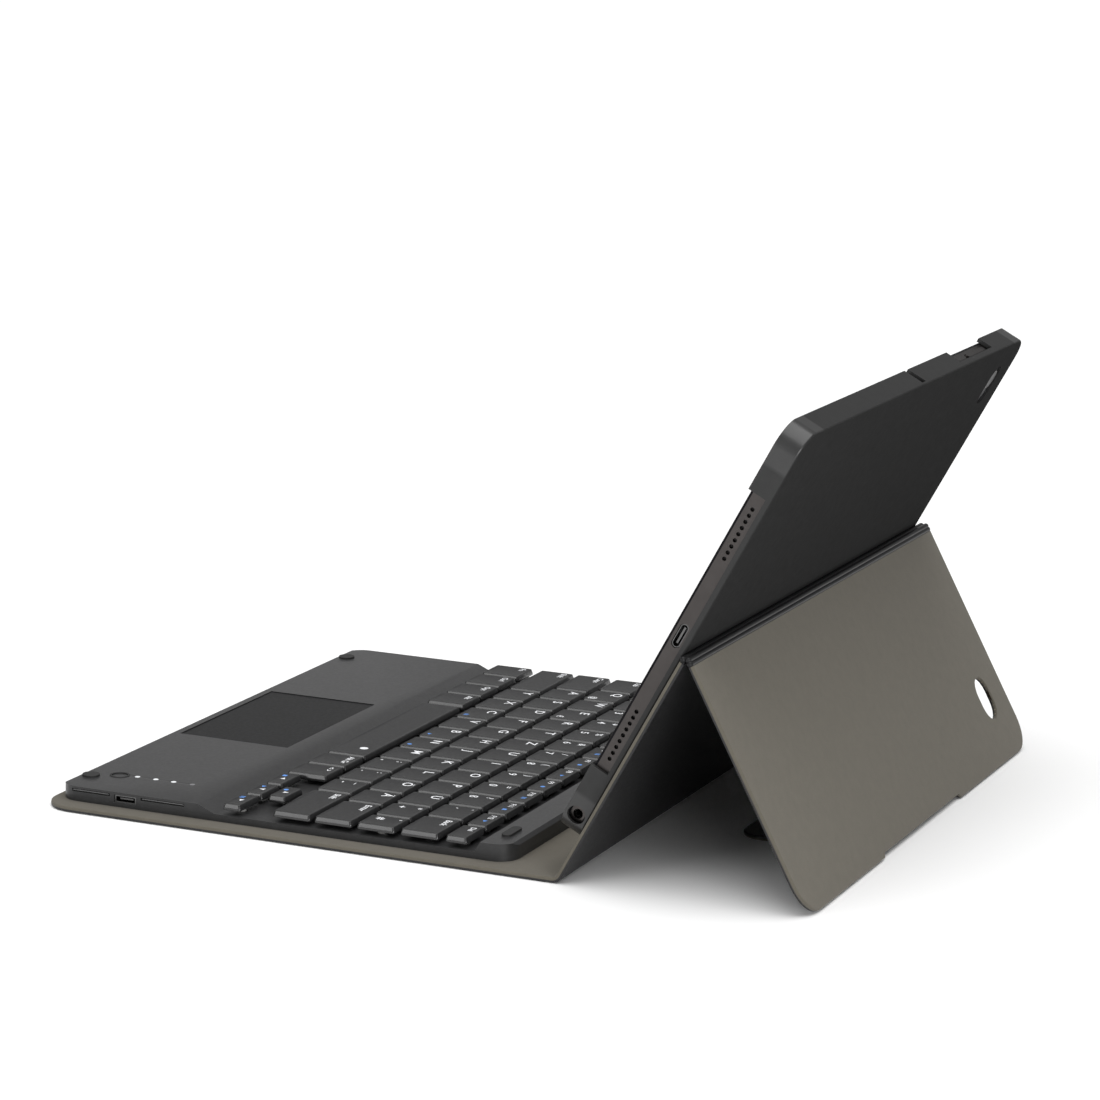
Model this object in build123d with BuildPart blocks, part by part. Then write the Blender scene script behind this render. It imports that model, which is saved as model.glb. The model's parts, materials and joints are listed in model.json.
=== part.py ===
from build123d import *
import os
from math import cos, radians, sin

# Tablet keyboard case: a folio cover standing as a tent, with its keyboard and the tablet it holds.
#
# Millimetres. X runs along the floor crease, towards the user's right hand, Y runs away from the user
# and Z is up. The origin is on the floor, under the middle of the footprint. The pieces are drawn from
# the crease, where the cover bends up off the floor, and save() carries each one to the origin.

# ---- cover ----
COVER_WIDTH = 257.4
SKIN = 0.6  # outer skin under each stiffener board
BOARD = 0.9
LINING = 0.5
COVER_THICK = SKIN + BOARD + LINING
FRONT_LENGTH = 201.0  # crease to the cover's front edge
BOARD_REAR = 19.0  # crease to the front board's rear edge, where the soft spine starts
LEAN_SPINE = 14.1  # crease to the shell's lower edge, up the lean
LEAN_ANGLE = 62.1
FOLD_HEIGHT = 92.5  # crease to the strut's fold, up the lean
FOLD_SETBACK = 1.0  # the fold's axis, behind the back panel's outer face
STRUT_ANGLE = 61.3  # below the horizontal
FLAP_WIDTH = 86.0
FLAP_CENTRE = 3.5
FLAP_LENGTH = 53.0
FLAP_THICK = 1.6
FLAP_LIFT = 0.1  # the resting flap's clearance over the floor
CORNER_RADIUS = 12.0
RECESS_LEFT, RECESS_RIGHT, RECESS_DEPTH = -41.0, 49.0, 1.5  # in the strut's lower edge, over the flap's fold
SOFT_GAP = 0.7  # from a hinge axis to the panels that fold on it
CREASE_GAP = 1.6
FOLD_GAP = 1.5
ROLL_OVERHANG = 1.5
BOARD_INSET = 3.5
BOND_MARGIN = 6.0  # the adhesive stops this far short of the back panel's ends
ROLL_RADIUS = 1.2
ROLL_DROP = 3.9  # from the fold down to the roll's middle
MAGNET_LENGTH, MAGNET_WIDTH, MAGNET_PLAY = 24.0, 6.0, 0.2
FLAP_MAGNETS_AT = (-20.0, 27.0)

# ---- shell and tablet ----
SHELL_WIDTH = 250.0
SHELL_HEIGHT = 165.0
SHELL_BACK = 2.6  # the shell's back face, above the back panel's outer face
SHELL_DEPTH = 8.9
SHELL_WALL = 1.5
SHELL_FLOOR = 1.2
SHELL_RADIUS = 9.0
CLIP_TOP, CLIP_BOTTOM = 26.0, 27.0  # how far the corner clips run along each side
BUTTON_LEFT, BUTTON_RIGHT = -87.0, -47.0  # the top wall's cut-out for the tablet's buttons
SLOT_X, SLOT_WIDTH = 0.0, 4.0  # relief slot in the top wall
JACK_HEIGHT = 8.4  # the jack's centre, above the shell's lower edge
JACK_HOLE_RADIUS = 3.3
SIDE_RIM, BUTTON_RIM = 0.9, 1.6  # what is left of a wall in its cut-outs, above the tablet's back
CAMERA_X, CAMERA_DROP = -106.5, 18.5  # pill cut-out: across, and down from the shell's top edge
CAMERA_WIDTH, CAMERA_LENGTH = 9.5, 16.5
TABLET_WIDTH = 246.6
TABLET_HEIGHT = 161.6
TABLET_THICK = 6.9
TABLET_RADIUS = 7.5
TABLET_WALL = 1.6
GLASS_THICK = 1.0
DISPLAY_THICK = 1.4

# ---- keyboard ----
KEYBOARD_WIDTH = 241.5
KEYBOARD_FRONT = -198.0
KEYBOARD_REAR = -20.3
KEYBOARD_RADIUS = 8.0
CASE_WALL = 1.4
BOTTOM_FLOOR = 0.8
SEAM = 3.6
DECK_TOP = 4.6
PALM_TOP = 7.4
STRIP_TOP = 8.2
PALM_ROOF = 1.2
PALM_EDGE = -141.0  # top of the slope from the palm rest down to the key deck
DECK_EDGE = -134.5
STRIP_FRONT = -34.0
STRIP_EDGE = -32.0
KEY_TOP = 8.5
KEY_BOTTOM = 6.2
KEY_GAP = 1.8
KEY_PITCH = 17.14
KEY_EDGE = 119.4  # outer edge of the end keys
KEY_DEPTH = 14.6
KEY_WALL = 0.9
KEY_ROOF = 1.0
KEY_TAPER = 14
DOME_RADIUS = 2.1
DOME_TOP = 5.9
TOUCHPAD_SIZE = (75.4, 45.3)
TOUCHPAD_AT = (-1.2, -171.2)
SWITCH_AT = (99.8, -184.2)
LIGHTS_AT = [(98.9, -177.4), (98.9, -169.9), (98.9, -162.6), (98.9, -155.0)]
USB_Y = -170.3
GROOVES = ((-192.0, -176.5), (-164.0, -146.5))  # finger grooves in the right-hand edge, front to back
SCREWS_AT = [(x, y) for x in (-112, -52, 52, 112) for y in (-148, -26.5)]

MID_COVER = COVER_THICK / 2
KEYBOARD_BASE = COVER_THICK
lean_c, lean_s = cos(radians(LEAN_ANGLE)), sin(radians(LEAN_ANGLE))
strut_c, strut_s = cos(radians(STRUT_ANGLE)), sin(radians(STRUT_ANGLE))

# The leaning back panel: local X across, local Y up the lean, local Z out of the screen side.
lean = Plane(
    origin=(0, MID_COVER * lean_s, MID_COVER - MID_COVER * lean_c),
    x_dir=(1, 0, 0),
    z_dir=(0, -lean_s, lean_c),
)
fold = lean.from_local_coords(Vector(0, FOLD_HEIGHT, -FOLD_SETBACK))
FLAP_INSET = 0.6  # the flap's fold, inside the strut's front face
STRUT_LENGTH = (fold.Z - MID_COVER * strut_c) / strut_s
# The strut: local X across, local Y down from the fold to the foot, local Z out of its rear face.
strut = Plane(origin=fold, x_dir=(1, 0, 0), z_dir=(0, strut_s, strut_c)).offset(-MID_COVER)
# The closure flap turns on the strut's lower edge, just inside its front face.
flap_z = FLAP_LIFT + FLAP_THICK / 2
flap_y = fold.Y + ((fold.Z - flap_z) * strut_c - MID_COVER - FLAP_INSET) / strut_s
foot = strut.from_local_coords(Vector(0, STRUT_LENGTH, COVER_THICK))
FOOTPRINT_MIDDLE = (foot.Y - FRONT_LENGTH) / 2

os.makedirs("parts", exist_ok=True)


def save(piece, name):
    """Name a finished piece and write it, placed from the middle of the footprint."""
    piece.part.label = name
    piece.part.locate(Location((0, -FOOTPRINT_MIDDLE, 0)) * piece.part.location)
    export_step(piece.part, f"parts/{name}.step")


def outline(plane, low, high, width=COVER_WIDTH, rounded="", radius=CORNER_RADIUS, centre=0.0):
    """A panel's outline, from low to high along the plane's Y. rounded names the ends with round corners."""
    with BuildSketch(plane) as face:
        with Locations((centre, (low + high) / 2)):
            Rectangle(width, high - low)
        if "low" in rounded:
            fillet(face.vertices().group_by(Axis.Y)[0], radius)
        if "high" in rounded:
            fillet(face.vertices().group_by(Axis.Y)[-1], radius)
    return face.sketch


def block(low, high, plane=Plane.XY, mode=Mode.ADD):
    """A box between two opposite corners, in the plane's coordinates."""
    size = [b - a for a, b in zip(low, high)]
    with BuildSketch(plane.offset(low[2]), mode=Mode.PRIVATE) as base:
        with Locations(((low[0] + high[0]) / 2, (low[1] + high[1]) / 2)):
            Rectangle(size[0], size[1])
    extrude(base.sketch, amount=size[2], mode=mode)


def leaf(name, plane, low, high, rounded="", magnets=(), window=None, recess=None):
    """A stiff leaf of the cover: an outer skin, a board in its pocket, the magnets in the board, a lining.

    magnets lists their centres. window is the (x, y, width, length) of a pill-shaped hole, and recess the
    (left, right, depth) of a shallow step in the high end.
    """

    def pierce():
        if window:
            x, y, width, length = window
            with BuildSketch(plane, mode=Mode.PRIVATE) as hole:
                with Locations((x, y)):
                    SlotOverall(length, width, rotation=90)
            extrude(hole.sketch, amount=COVER_THICK, mode=Mode.SUBTRACT)
        if recess:
            left, right, depth = recess
            block((left, high - depth, 0), (right, high + depth, COVER_THICK), plane, Mode.SUBTRACT)

    inner = dict(width=COVER_WIDTH - 2 * BOARD_INSET, rounded=rounded, radius=CORNER_RADIUS - BOARD_INSET)
    ends = low + BOARD_INSET, high - BOARD_INSET

    with BuildPart() as skin:
        extrude(outline(plane, low, high, rounded=rounded), amount=SKIN + BOARD)
        extrude(outline(plane.offset(SKIN), *ends, **inner), amount=BOARD, mode=Mode.SUBTRACT)
        pierce()
    save(skin, f"{name}_skin")

    with BuildPart() as board:
        extrude(outline(plane.offset(SKIN), *ends, **inner), amount=BOARD)
        if magnets:
            with BuildSketch(plane.offset(SKIN), mode=Mode.PRIVATE) as pockets:
                with Locations(*magnets):
                    Rectangle(MAGNET_LENGTH + 2 * MAGNET_PLAY, MAGNET_WIDTH + 2 * MAGNET_PLAY)
            extrude(pockets.sketch, amount=BOARD, mode=Mode.SUBTRACT)
        pierce()
    save(board, f"{name}_board")

    if magnets:
        with BuildPart() as bars:
            with BuildSketch(plane.offset(SKIN)):
                with Locations(*magnets):
                    Rectangle(MAGNET_LENGTH, MAGNET_WIDTH)
            extrude(amount=BOARD - 0.1)
        save(bars, f"{name}_magnets")

    with BuildPart() as lining:
        extrude(outline(plane.offset(SKIN + BOARD), low, high, rounded=rounded), amount=LINING)
        pierce()
    save(lining, f"{name}_lining")


def strip(name, plane, low, high, width=COVER_WIDTH, thick=COVER_THICK, rounded="", centre=0.0):
    """A soft strip of the cover: an outer skin with its lining."""
    with BuildPart() as skin:
        extrude(outline(plane, low, high, width, rounded, centre=centre), amount=thick - LINING)
    save(skin, f"{name}_skin")
    with BuildPart() as lining:
        upper = plane.offset(thick - LINING)
        extrude(outline(upper, low, high, width, rounded, centre=centre), amount=LINING)
    save(lining, f"{name}_lining")


# ================================ cover ================================
leaf(
    "front",
    Plane.XY,
    -FRONT_LENGTH,
    -BOARD_REAR - SOFT_GAP,
    rounded="low",
    magnets=[(x, y) for x in (-80, 80) for y in (-185, -40)],
)
strip("spine_floor", Plane.XY, -BOARD_REAR + SOFT_GAP, -CREASE_GAP)
strip("spine_lean", lean, CREASE_GAP, LEAN_SPINE - SOFT_GAP)
leaf("back", lean, LEAN_SPINE + SOFT_GAP, FOLD_HEIGHT - FOLD_GAP)

with BuildPart() as back_bond:  # the adhesive between the cover and the shell
    bond_ends = LEAN_SPINE + BOND_MARGIN, FOLD_HEIGHT - BOND_MARGIN
    extrude(
        outline(lean.offset(COVER_THICK), *bond_ends, width=SHELL_WIDTH - 16),
        amount=SHELL_BACK - COVER_THICK,
    )
save(back_bond, "back_bond")

with BuildPart() as fold_roll:  # the half-round roll sewn along the panel's upper edge
    with BuildSketch(Plane.YZ.offset(-(COVER_WIDTH + ROLL_OVERHANG) / 2)) as roll_profile:
        Circle(ROLL_RADIUS)
    extrude(amount=COVER_WIDTH + ROLL_OVERHANG)
    with Locations((0, 0, 3)):
        Box(2 * COVER_WIDTH, 6, 6, mode=Mode.SUBTRACT)
fold_roll.part.locate(
    Location(Plane(lean.from_local_coords(Vector(0, FOLD_HEIGHT - ROLL_DROP, 0)), (1, 0, 0), lean.z_dir))
)
save(fold_roll, "fold_roll")

camera_height = LEAN_SPINE + SHELL_HEIGHT - CAMERA_DROP
leaf(
    "strut",
    strut,
    FOLD_GAP,
    STRUT_LENGTH,
    rounded="high",
    magnets=[(x, STRUT_LENGTH - 10) for x in FLAP_MAGNETS_AT],
    recess=(RECESS_LEFT, RECESS_RIGHT, RECESS_DEPTH),
    window=(CAMERA_X, camera_height - FOLD_HEIGHT, CAMERA_WIDTH + 3.5, CAMERA_LENGTH + 0.5),
)

flap = Plane((0, flap_y, FLAP_LIFT), x_dir=(-1, 0, 0), z_dir=(0, 0, 1))
with BuildPart() as flap_lining:  # on the floor side while the flap is tucked in
    extrude(outline(flap, CREASE_GAP, FLAP_LENGTH, FLAP_WIDTH, "high", 8, -FLAP_CENTRE), amount=LINING)
save(flap_lining, "flap_lining")
magnet_low, magnet_high = FLAP_LENGTH - 19.8, FLAP_LENGTH - 12.2
with BuildPart() as flap_skin:
    extrude(
        outline(flap.offset(LINING), CREASE_GAP, FLAP_LENGTH, FLAP_WIDTH, "high", 8, -FLAP_CENTRE),
        amount=FLAP_THICK - LINING,
    )
    for x in FLAP_MAGNETS_AT:
        block(
            (-x - 10 - MAGNET_PLAY, magnet_low - MAGNET_PLAY, LINING),
            (-x + 10 + MAGNET_PLAY, magnet_high + MAGNET_PLAY, LINING + 0.7),
            flap,
            Mode.SUBTRACT,
        )
save(flap_skin, "flap_skin")
with BuildPart() as flap_magnets:
    for x in FLAP_MAGNETS_AT:
        block((-x - 10, magnet_low, LINING), (-x + 10, magnet_high, LINING + 0.6), flap)
save(flap_magnets, "flap_magnets")

# ================================ shell ================================
half_shell = SHELL_WIDTH / 2
shell_low, shell_high = LEAN_SPINE, LEAN_SPINE + SHELL_HEIGHT
shell_top = SHELL_BACK + SHELL_DEPTH
tablet_back = SHELL_BACK + SHELL_FLOOR
inside = dict(width=SHELL_WIDTH - 2 * SHELL_WALL, rounded="low high", radius=SHELL_RADIUS - SHELL_WALL)
mid_tablet = tablet_back + TABLET_THICK / 2

with BuildPart() as shell_tray:
    extrude(
        outline(lean.offset(SHELL_BACK), shell_low, shell_high, SHELL_WIDTH, "low high", SHELL_RADIUS),
        amount=SHELL_DEPTH,
    )
    fillet(shell_tray.faces().sort_by(Axis(lean.origin, lean.z_dir))[0].edges(), 0.8)
    extrude(
        outline(lean.offset(tablet_back), shell_low + SHELL_WALL, shell_high - SHELL_WALL, **inside),
        amount=SHELL_DEPTH,
        mode=Mode.SUBTRACT,
    )
    # each side wall is cut down to a low rim between its corner clips
    for side in (-1, 1):
        x = sorted((side * (half_shell - SHELL_WALL - 1), side * (half_shell + 1)))
        block(
            (x[0], shell_low + CLIP_BOTTOM, tablet_back + SIDE_RIM),
            (x[1], shell_high - CLIP_TOP, shell_top + 1),
            lean,
            Mode.SUBTRACT,
        )
    # the top wall: a relief slot, and the cut-out that the tablet's buttons stand in
    wall = shell_high - SHELL_WALL - 1, shell_high + 1
    for left, right, above in (
        (SLOT_X - SLOT_WIDTH / 2, SLOT_X + SLOT_WIDTH / 2, tablet_back),
        (BUTTON_LEFT, BUTTON_RIGHT, tablet_back + BUTTON_RIM),
    ):
        block((left, wall[0], above), (right, wall[1], shell_top + 1), lean, Mode.SUBTRACT)
    # the jack's round cut-out in the lower clip of the right-hand side
    jack_middle = Vector(half_shell - SHELL_WALL - 2, shell_low + JACK_HEIGHT, mid_tablet)
    jack_plane = Plane(lean.from_local_coords(jack_middle), lean.y_dir, (1, 0, 0))
    with BuildSketch(jack_plane, mode=Mode.PRIVATE) as jack_hole:
        Circle(JACK_HOLE_RADIUS)
    extrude(jack_hole.sketch, amount=6, mode=Mode.SUBTRACT)
    # the camera's pill-shaped cut-out through the back
    with BuildSketch(lean.offset(SHELL_BACK - 1), mode=Mode.PRIVATE) as camera_hole:
        with Locations((CAMERA_X, shell_high - CAMERA_DROP)):
            SlotOverall(CAMERA_LENGTH, CAMERA_WIDTH, rotation=90)
    extrude(camera_hole.sketch, amount=SHELL_FLOOR + 2, mode=Mode.SUBTRACT)
save(shell_tray, "shell_tray")

# ================================ tablet ================================
half_tablet = TABLET_WIDTH / 2
tablet_low = shell_low + (SHELL_HEIGHT - TABLET_HEIGHT) / 2
tablet_high = tablet_low + TABLET_HEIGHT
tablet_mid = (tablet_low + tablet_high) / 2
tablet_face = tablet_back + TABLET_THICK
SPEAKER_OFFSET = 41.0
SPEAKER_PITCH = 2.45
side = Plane(lean.from_local_coords(Vector(half_tablet, 0, mid_tablet)), lean.y_dir, (1, 0, 0))
top_edge = Plane(lean.from_local_coords(Vector(0, tablet_high, mid_tablet)), (1, 0, 0), lean.y_dir)


def inset(amount, thick, mode=Mode.ADD, start=0.0):
    """A plate of the tablet's outline, set in from its edge, standing on its back plus start."""
    plate = outline(
        lean.offset(tablet_back + start),
        tablet_low + amount,
        tablet_high - amount,
        TABLET_WIDTH - 2 * amount,
        "low high",
        TABLET_RADIUS - amount,
    )
    extrude(plate, amount=thick, mode=mode)


with BuildPart() as tablet_housing:
    inset(0, TABLET_THICK)
    fillet(tablet_housing.faces().sort_by(Axis(lean.origin, lean.z_dir))[0].edges(), 1.2)
    inset(TABLET_WALL, TABLET_THICK, Mode.SUBTRACT, start=0.9)
    inset(1.0, GLASS_THICK + 1, Mode.SUBTRACT, start=TABLET_THICK - GLASS_THICK)
    with BuildSketch(side, mode=Mode.PRIVATE) as ports:
        with Locations((tablet_mid, 0)):
            SlotOverall(9.2, 3.3)
        for sign in (-1, 1):
            with Locations((tablet_mid + sign * SPEAKER_OFFSET, 0)):
                with GridLocations(SPEAKER_PITCH, 1, 9, 1):
                    Circle(0.75)
        with Locations((shell_low + JACK_HEIGHT, 0)):
            Circle(1.8)
    extrude(ports.sketch, amount=-TABLET_WALL - 1, mode=Mode.SUBTRACT)
    with BuildSketch(top_edge, mode=Mode.PRIVATE) as keys:
        with Locations((-55, 0)):
            SlotOverall(9.4, 2.4)
        with Locations((-73, 0)):
            SlotOverall(21.4, 2.4)
    extrude(keys.sketch, amount=-TABLET_WALL - 1, mode=Mode.SUBTRACT)
save(tablet_housing, "tablet_housing")

with BuildPart() as tablet_glass:
    inset(1.05, GLASS_THICK, start=TABLET_THICK - GLASS_THICK)
save(tablet_glass, "tablet_glass")

with BuildPart() as tablet_display:
    display_plane = lean.offset(tablet_face - GLASS_THICK - DISPLAY_THICK)
    extrude(
        outline(display_plane, tablet_low + 6, tablet_high - 6, TABLET_WIDTH - 14),
        amount=DISPLAY_THICK,
    )
save(tablet_display, "tablet_display")

with BuildPart() as tablet_battery:
    block((-70, tablet_low + 22, tablet_back + 0.9), (60, tablet_high - 40, tablet_back + 4.2), lean)
save(tablet_battery, "tablet_battery")

with BuildPart() as tablet_mainboard:
    block((-95, tablet_high - 36, tablet_back + 0.9), (90, tablet_high - 10, tablet_back + 2.0), lean)
save(tablet_mainboard, "tablet_mainboard")

with BuildPart() as tablet_usb_socket:
    with BuildSketch(side.offset(-0.4)) as shell_face:
        with Locations((tablet_mid, 0)):
            SlotOverall(8.9, 3.0)
    extrude(amount=-6.2)
    with BuildSketch(side.offset(-0.4)) as mouth:
        with Locations((tablet_mid, 0)):
            SlotOverall(8.3, 2.4)
    extrude(amount=-5.6, mode=Mode.SUBTRACT)
    with BuildSketch(side.offset(-1.2)) as tongue:
        with Locations((tablet_mid, 0)):
            Rectangle(6.2, 0.7)
    extrude(amount=-5.2)
save(tablet_usb_socket, "tablet_usb_socket")

with BuildPart() as tablet_jack:
    with BuildSketch(side.offset(-TABLET_WALL - 1.2)) as barrel:
        with Locations((shell_low + JACK_HEIGHT, 0)):
            Circle(2.2)
            Circle(1.75, mode=Mode.SUBTRACT)
    extrude(amount=-4.0)
save(tablet_jack, "tablet_jack")

with BuildPart() as tablet_speakers:
    for sign in (-1, 1):
        middle = tablet_mid + sign * SPEAKER_OFFSET
        block(
            (half_tablet - 14, middle - 12, tablet_back + 1.0),
            (half_tablet - 1.8, middle + 12, tablet_back + 4.4),
            lean,
        )
save(tablet_speakers, "tablet_speakers")

with BuildPart() as tablet_camera:  # the lens barrel stands in the shell's pill-shaped cut-out
    with BuildSketch(lean.offset(tablet_back - 0.8)) as lens:
        with Locations((CAMERA_X, shell_high - CAMERA_DROP + 2.4)):
            Circle(3.4)
    extrude(amount=0.8)
save(tablet_camera, "tablet_camera")

for name, x, length in (("tablet_power_button", -55, 9), ("tablet_volume_button", -73, 21)):
    with BuildPart() as button:
        with BuildSketch(top_edge.offset(-TABLET_WALL + 0.2)) as cap:
            with Locations((x, 0)):
                SlotOverall(length, 2.0)
        extrude(amount=TABLET_WALL + 0.4)
    save(button, name)

# ================================ keyboard ================================
half_keyboard = KEYBOARD_WIDTH / 2
keyboard_span = dict(width=KEYBOARD_WIDTH, rounded="low high", radius=KEYBOARD_RADIUS)
cavity_low, cavity_high = KEYBOARD_FRONT + CASE_WALL, KEYBOARD_REAR - CASE_WALL
floor_top = KEYBOARD_BASE + BOTTOM_FLOOR
palm_roof = PALM_TOP - PALM_ROOF

# every key: its group, the edges of its cap across the keyboard, its front edge and its depth
key_caps = []


def add_key(group, left, right, front, depth=KEY_DEPTH):
    """One key, by its cap's left, right and front edges."""
    key_caps.append((group, left, right, front, depth))


def add_run(group, last_edge, count, front, depth=KEY_DEPTH):
    """Standard keys from the one whose right edge is given, leftwards."""
    for i in range(count):
        right = last_edge - i * KEY_PITCH
        add_key(group, max(right - KEY_PITCH + KEY_GAP, -KEY_EDGE), right, front, depth)


# the rows' front edges, and the depths of the caps that aren't standard
FUNCTION, NUMBER, UPPER, HOME, LOWER, BOTTOM = -45.8, -62.9, -79.6, -96.1, -112.2, -132.0
FUNCTION_DEPTH = 8.3
HALF_DEPTH = 7.1
BOTTOM_DEPTH = 16.3
FUNCTION_KEYS = 14
function_pitch = (2 * KEY_EDGE + KEY_GAP) / FUNCTION_KEYS
for i in range(FUNCTION_KEYS):
    left = -KEY_EDGE + i * function_pitch
    add_key("function_keys", left, left + function_pitch - KEY_GAP, FUNCTION, FUNCTION_DEPTH)
add_run("number_keys", 98.0, 13, NUMBER)
add_key("backspace_key", 99.8, KEY_EDGE, NUMBER)
add_key("tab_key", -KEY_EDGE, -100.6, UPPER)
add_run("upper_letter_keys", 105.1, 12, UPPER)
add_key("upper_letter_keys", 106.9, KEY_EDGE, UPPER)
add_key("caps_key", -KEY_EDGE, -94.9, HOME)
add_run("home_letter_keys", 93.6, 11, HOME)
add_key("enter_key", 95.4, KEY_EDGE, HOME)
add_key("left_shift_key", -KEY_EDGE, -85.8, LOWER)
add_run("lower_letter_keys", 85.6, 10, LOWER)
add_key("right_shift_key", 87.4, KEY_EDGE, LOWER)
for i in range(4):
    left = -KEY_EDGE + i * 17.5
    add_key("bottom_row_keys", left, left + 15.7, BOTTOM, BOTTOM_DEPTH)
add_key("space_key", -47.8, 37.0, BOTTOM, BOTTOM_DEPTH)
add_key("bottom_row_keys", 38.8, 53.6, BOTTOM, BOTTOM_DEPTH)
add_key("bottom_row_keys", 55.4, 69.7, BOTTOM, BOTTOM_DEPTH)
add_key("arrow_keys", 71.5, 86.6, BOTTOM, HALF_DEPTH)
add_key("arrow_keys", 88.4, 102.5, BOTTOM, HALF_DEPTH)
add_key("arrow_keys", 88.4, 102.5, BOTTOM + BOTTOM_DEPTH - HALF_DEPTH, HALF_DEPTH)
add_key("arrow_keys", 104.3, KEY_EDGE, BOTTOM, HALF_DEPTH)
dome_spots = [((left + right) / 2, front + depth / 2) for _, left, right, front, depth in key_caps]

with BuildPart() as keyboard_bottom:
    extrude(
        outline(Plane.XY.offset(KEYBOARD_BASE), KEYBOARD_FRONT, KEYBOARD_REAR, **keyboard_span),
        amount=SEAM - KEYBOARD_BASE,
    )
    extrude(
        outline(
            Plane.XY.offset(floor_top),
            cavity_low,
            cavity_high,
            KEYBOARD_WIDTH - 2 * CASE_WALL,
            "low high",
            KEYBOARD_RADIUS - CASE_WALL,
        ),
        amount=SEAM,
        mode=Mode.SUBTRACT,
    )
    with BuildSketch(Plane.XY.offset(KEYBOARD_BASE), mode=Mode.PRIVATE) as screw_holes:
        with Locations(*SCREWS_AT):
            Circle(1.7)
    extrude(screw_holes.sketch, amount=BOTTOM_FLOOR, mode=Mode.SUBTRACT)
save(keyboard_bottom, "keyboard_bottom")

with BuildPart() as keyboard_top:
    with BuildSketch(Plane.YZ.offset(-half_keyboard)) as side_profile:
        with BuildLine() as side_line:
            Polyline(
                (KEYBOARD_FRONT, SEAM),
                (KEYBOARD_FRONT, PALM_TOP - 1.2),
                (KEYBOARD_FRONT + 1.2, PALM_TOP),
                (PALM_EDGE, PALM_TOP),
                (DECK_EDGE, DECK_TOP),
                (STRIP_FRONT, DECK_TOP),
                (STRIP_EDGE, STRIP_TOP),
                (KEYBOARD_REAR - 1.2, STRIP_TOP),
                (KEYBOARD_REAR, STRIP_TOP - 1.2),
                (KEYBOARD_REAR, SEAM),
                close=True,
            )
        make_face()
    extrude(amount=KEYBOARD_WIDTH)
    extrude(
        outline(Plane.XY, KEYBOARD_FRONT, KEYBOARD_REAR, **keyboard_span),
        amount=20,
        mode=Mode.INTERSECT,
    )
    # the hollows under the palm rest and the rear strip, with the screw bosses left standing
    for low, high, roof in (
        (cavity_low, PALM_EDGE + 1.0, palm_roof),
        (STRIP_EDGE + 1.0, cavity_high, STRIP_TOP - PALM_ROOF),
    ):
        block((-half_keyboard + 7, low, SEAM), (half_keyboard - 7, high, roof), mode=Mode.SUBTRACT)
    with BuildSketch(Plane.XY.offset(floor_top), mode=Mode.PRIVATE) as bosses:
        with Locations(*SCREWS_AT):
            Circle(2.6)
    extrude(bosses.sketch, amount=palm_roof + 0.9 - floor_top)
    with BuildSketch(Plane.XY.offset(floor_top), mode=Mode.PRIVATE) as pilot_holes:
        with Locations(*SCREWS_AT):
            Circle(0.85)
    extrude(pilot_holes.sketch, amount=3.2, mode=Mode.SUBTRACT)
    with BuildSketch(Plane.XY.offset(SEAM), mode=Mode.PRIVATE) as top_holes:
        with Locations(*dome_spots):
            Circle(DOME_RADIUS + 0.4)
        with Locations(TOUCHPAD_AT):
            Rectangle(*TOUCHPAD_SIZE)
        with Locations(SWITCH_AT):
            Circle(3.1)
        with Locations(*LIGHTS_AT):
            Circle(0.9)
    extrude(top_holes.sketch, amount=STRIP_TOP, mode=Mode.SUBTRACT)
    # finger grooves and the charging socket's mouth in the right-hand edge
    block(
        (half_keyboard - 8, USB_Y - 4.4, SEAM + 0.1),
        (half_keyboard + 1, USB_Y + 4.4, SEAM + 2.8),
        mode=Mode.SUBTRACT,
    )
    for low, high in GROOVES:
        block((half_keyboard - 0.8, low, 5.6), (half_keyboard + 1, high, 6.6), mode=Mode.SUBTRACT)
save(keyboard_top, "keyboard_top")

with BuildPart() as keyboard_circuit:
    block((-117, DECK_EDGE + 1, floor_top), (117, STRIP_FRONT - 2, floor_top + 0.3))
save(keyboard_circuit, "keyboard_circuit")

with BuildPart() as keyboard_dome_sheet:
    block((-117, DECK_EDGE + 1, floor_top + 0.3), (117, STRIP_FRONT - 2, SEAM))
    with BuildSketch(Plane.XY.offset(SEAM), mode=Mode.PRIVATE) as domes:
        with Locations(*dome_spots):
            Circle(DOME_RADIUS)
    extrude(domes.sketch, amount=DOME_TOP - SEAM, taper=12)
save(keyboard_dome_sheet, "keyboard_dome_sheet")

with BuildPart() as keyboard_battery:
    block((-106, -192, floor_top), (-60, -154, floor_top + 3.0))
save(keyboard_battery, "keyboard_battery")

with BuildPart() as touchpad:
    with BuildSketch(Plane.XY.offset(PALM_TOP - 1.6)) as pad:
        with Locations(TOUCHPAD_AT):
            Rectangle(TOUCHPAD_SIZE[0] - 0.3, TOUCHPAD_SIZE[1] - 0.3)
    extrude(amount=1.35)
save(touchpad, "touchpad")

with BuildPart() as touchpad_bracket:
    block((-43, -196, floor_top + 2.0), (41, -146, PALM_TOP - 1.6))
    block((-36, -190, floor_top + 1.0), (34, -152, PALM_TOP - 2.4), mode=Mode.SUBTRACT)
save(touchpad_bracket, "touchpad_bracket")

with BuildPart() as control_board:
    block((70, -194, floor_top), (108, -144, floor_top + 0.7))
    block((105, -152, floor_top), (118, -144, floor_top + 1), mode=Mode.SUBTRACT)
    with BuildSketch(Plane.XY.offset(floor_top + 0.7), mode=Mode.PRIVATE) as switch_body:
        with Locations(SWITCH_AT):
            Rectangle(4.5, 4.5)
    extrude(switch_body.sketch, amount=1.2)
save(control_board, "control_board")

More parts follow.
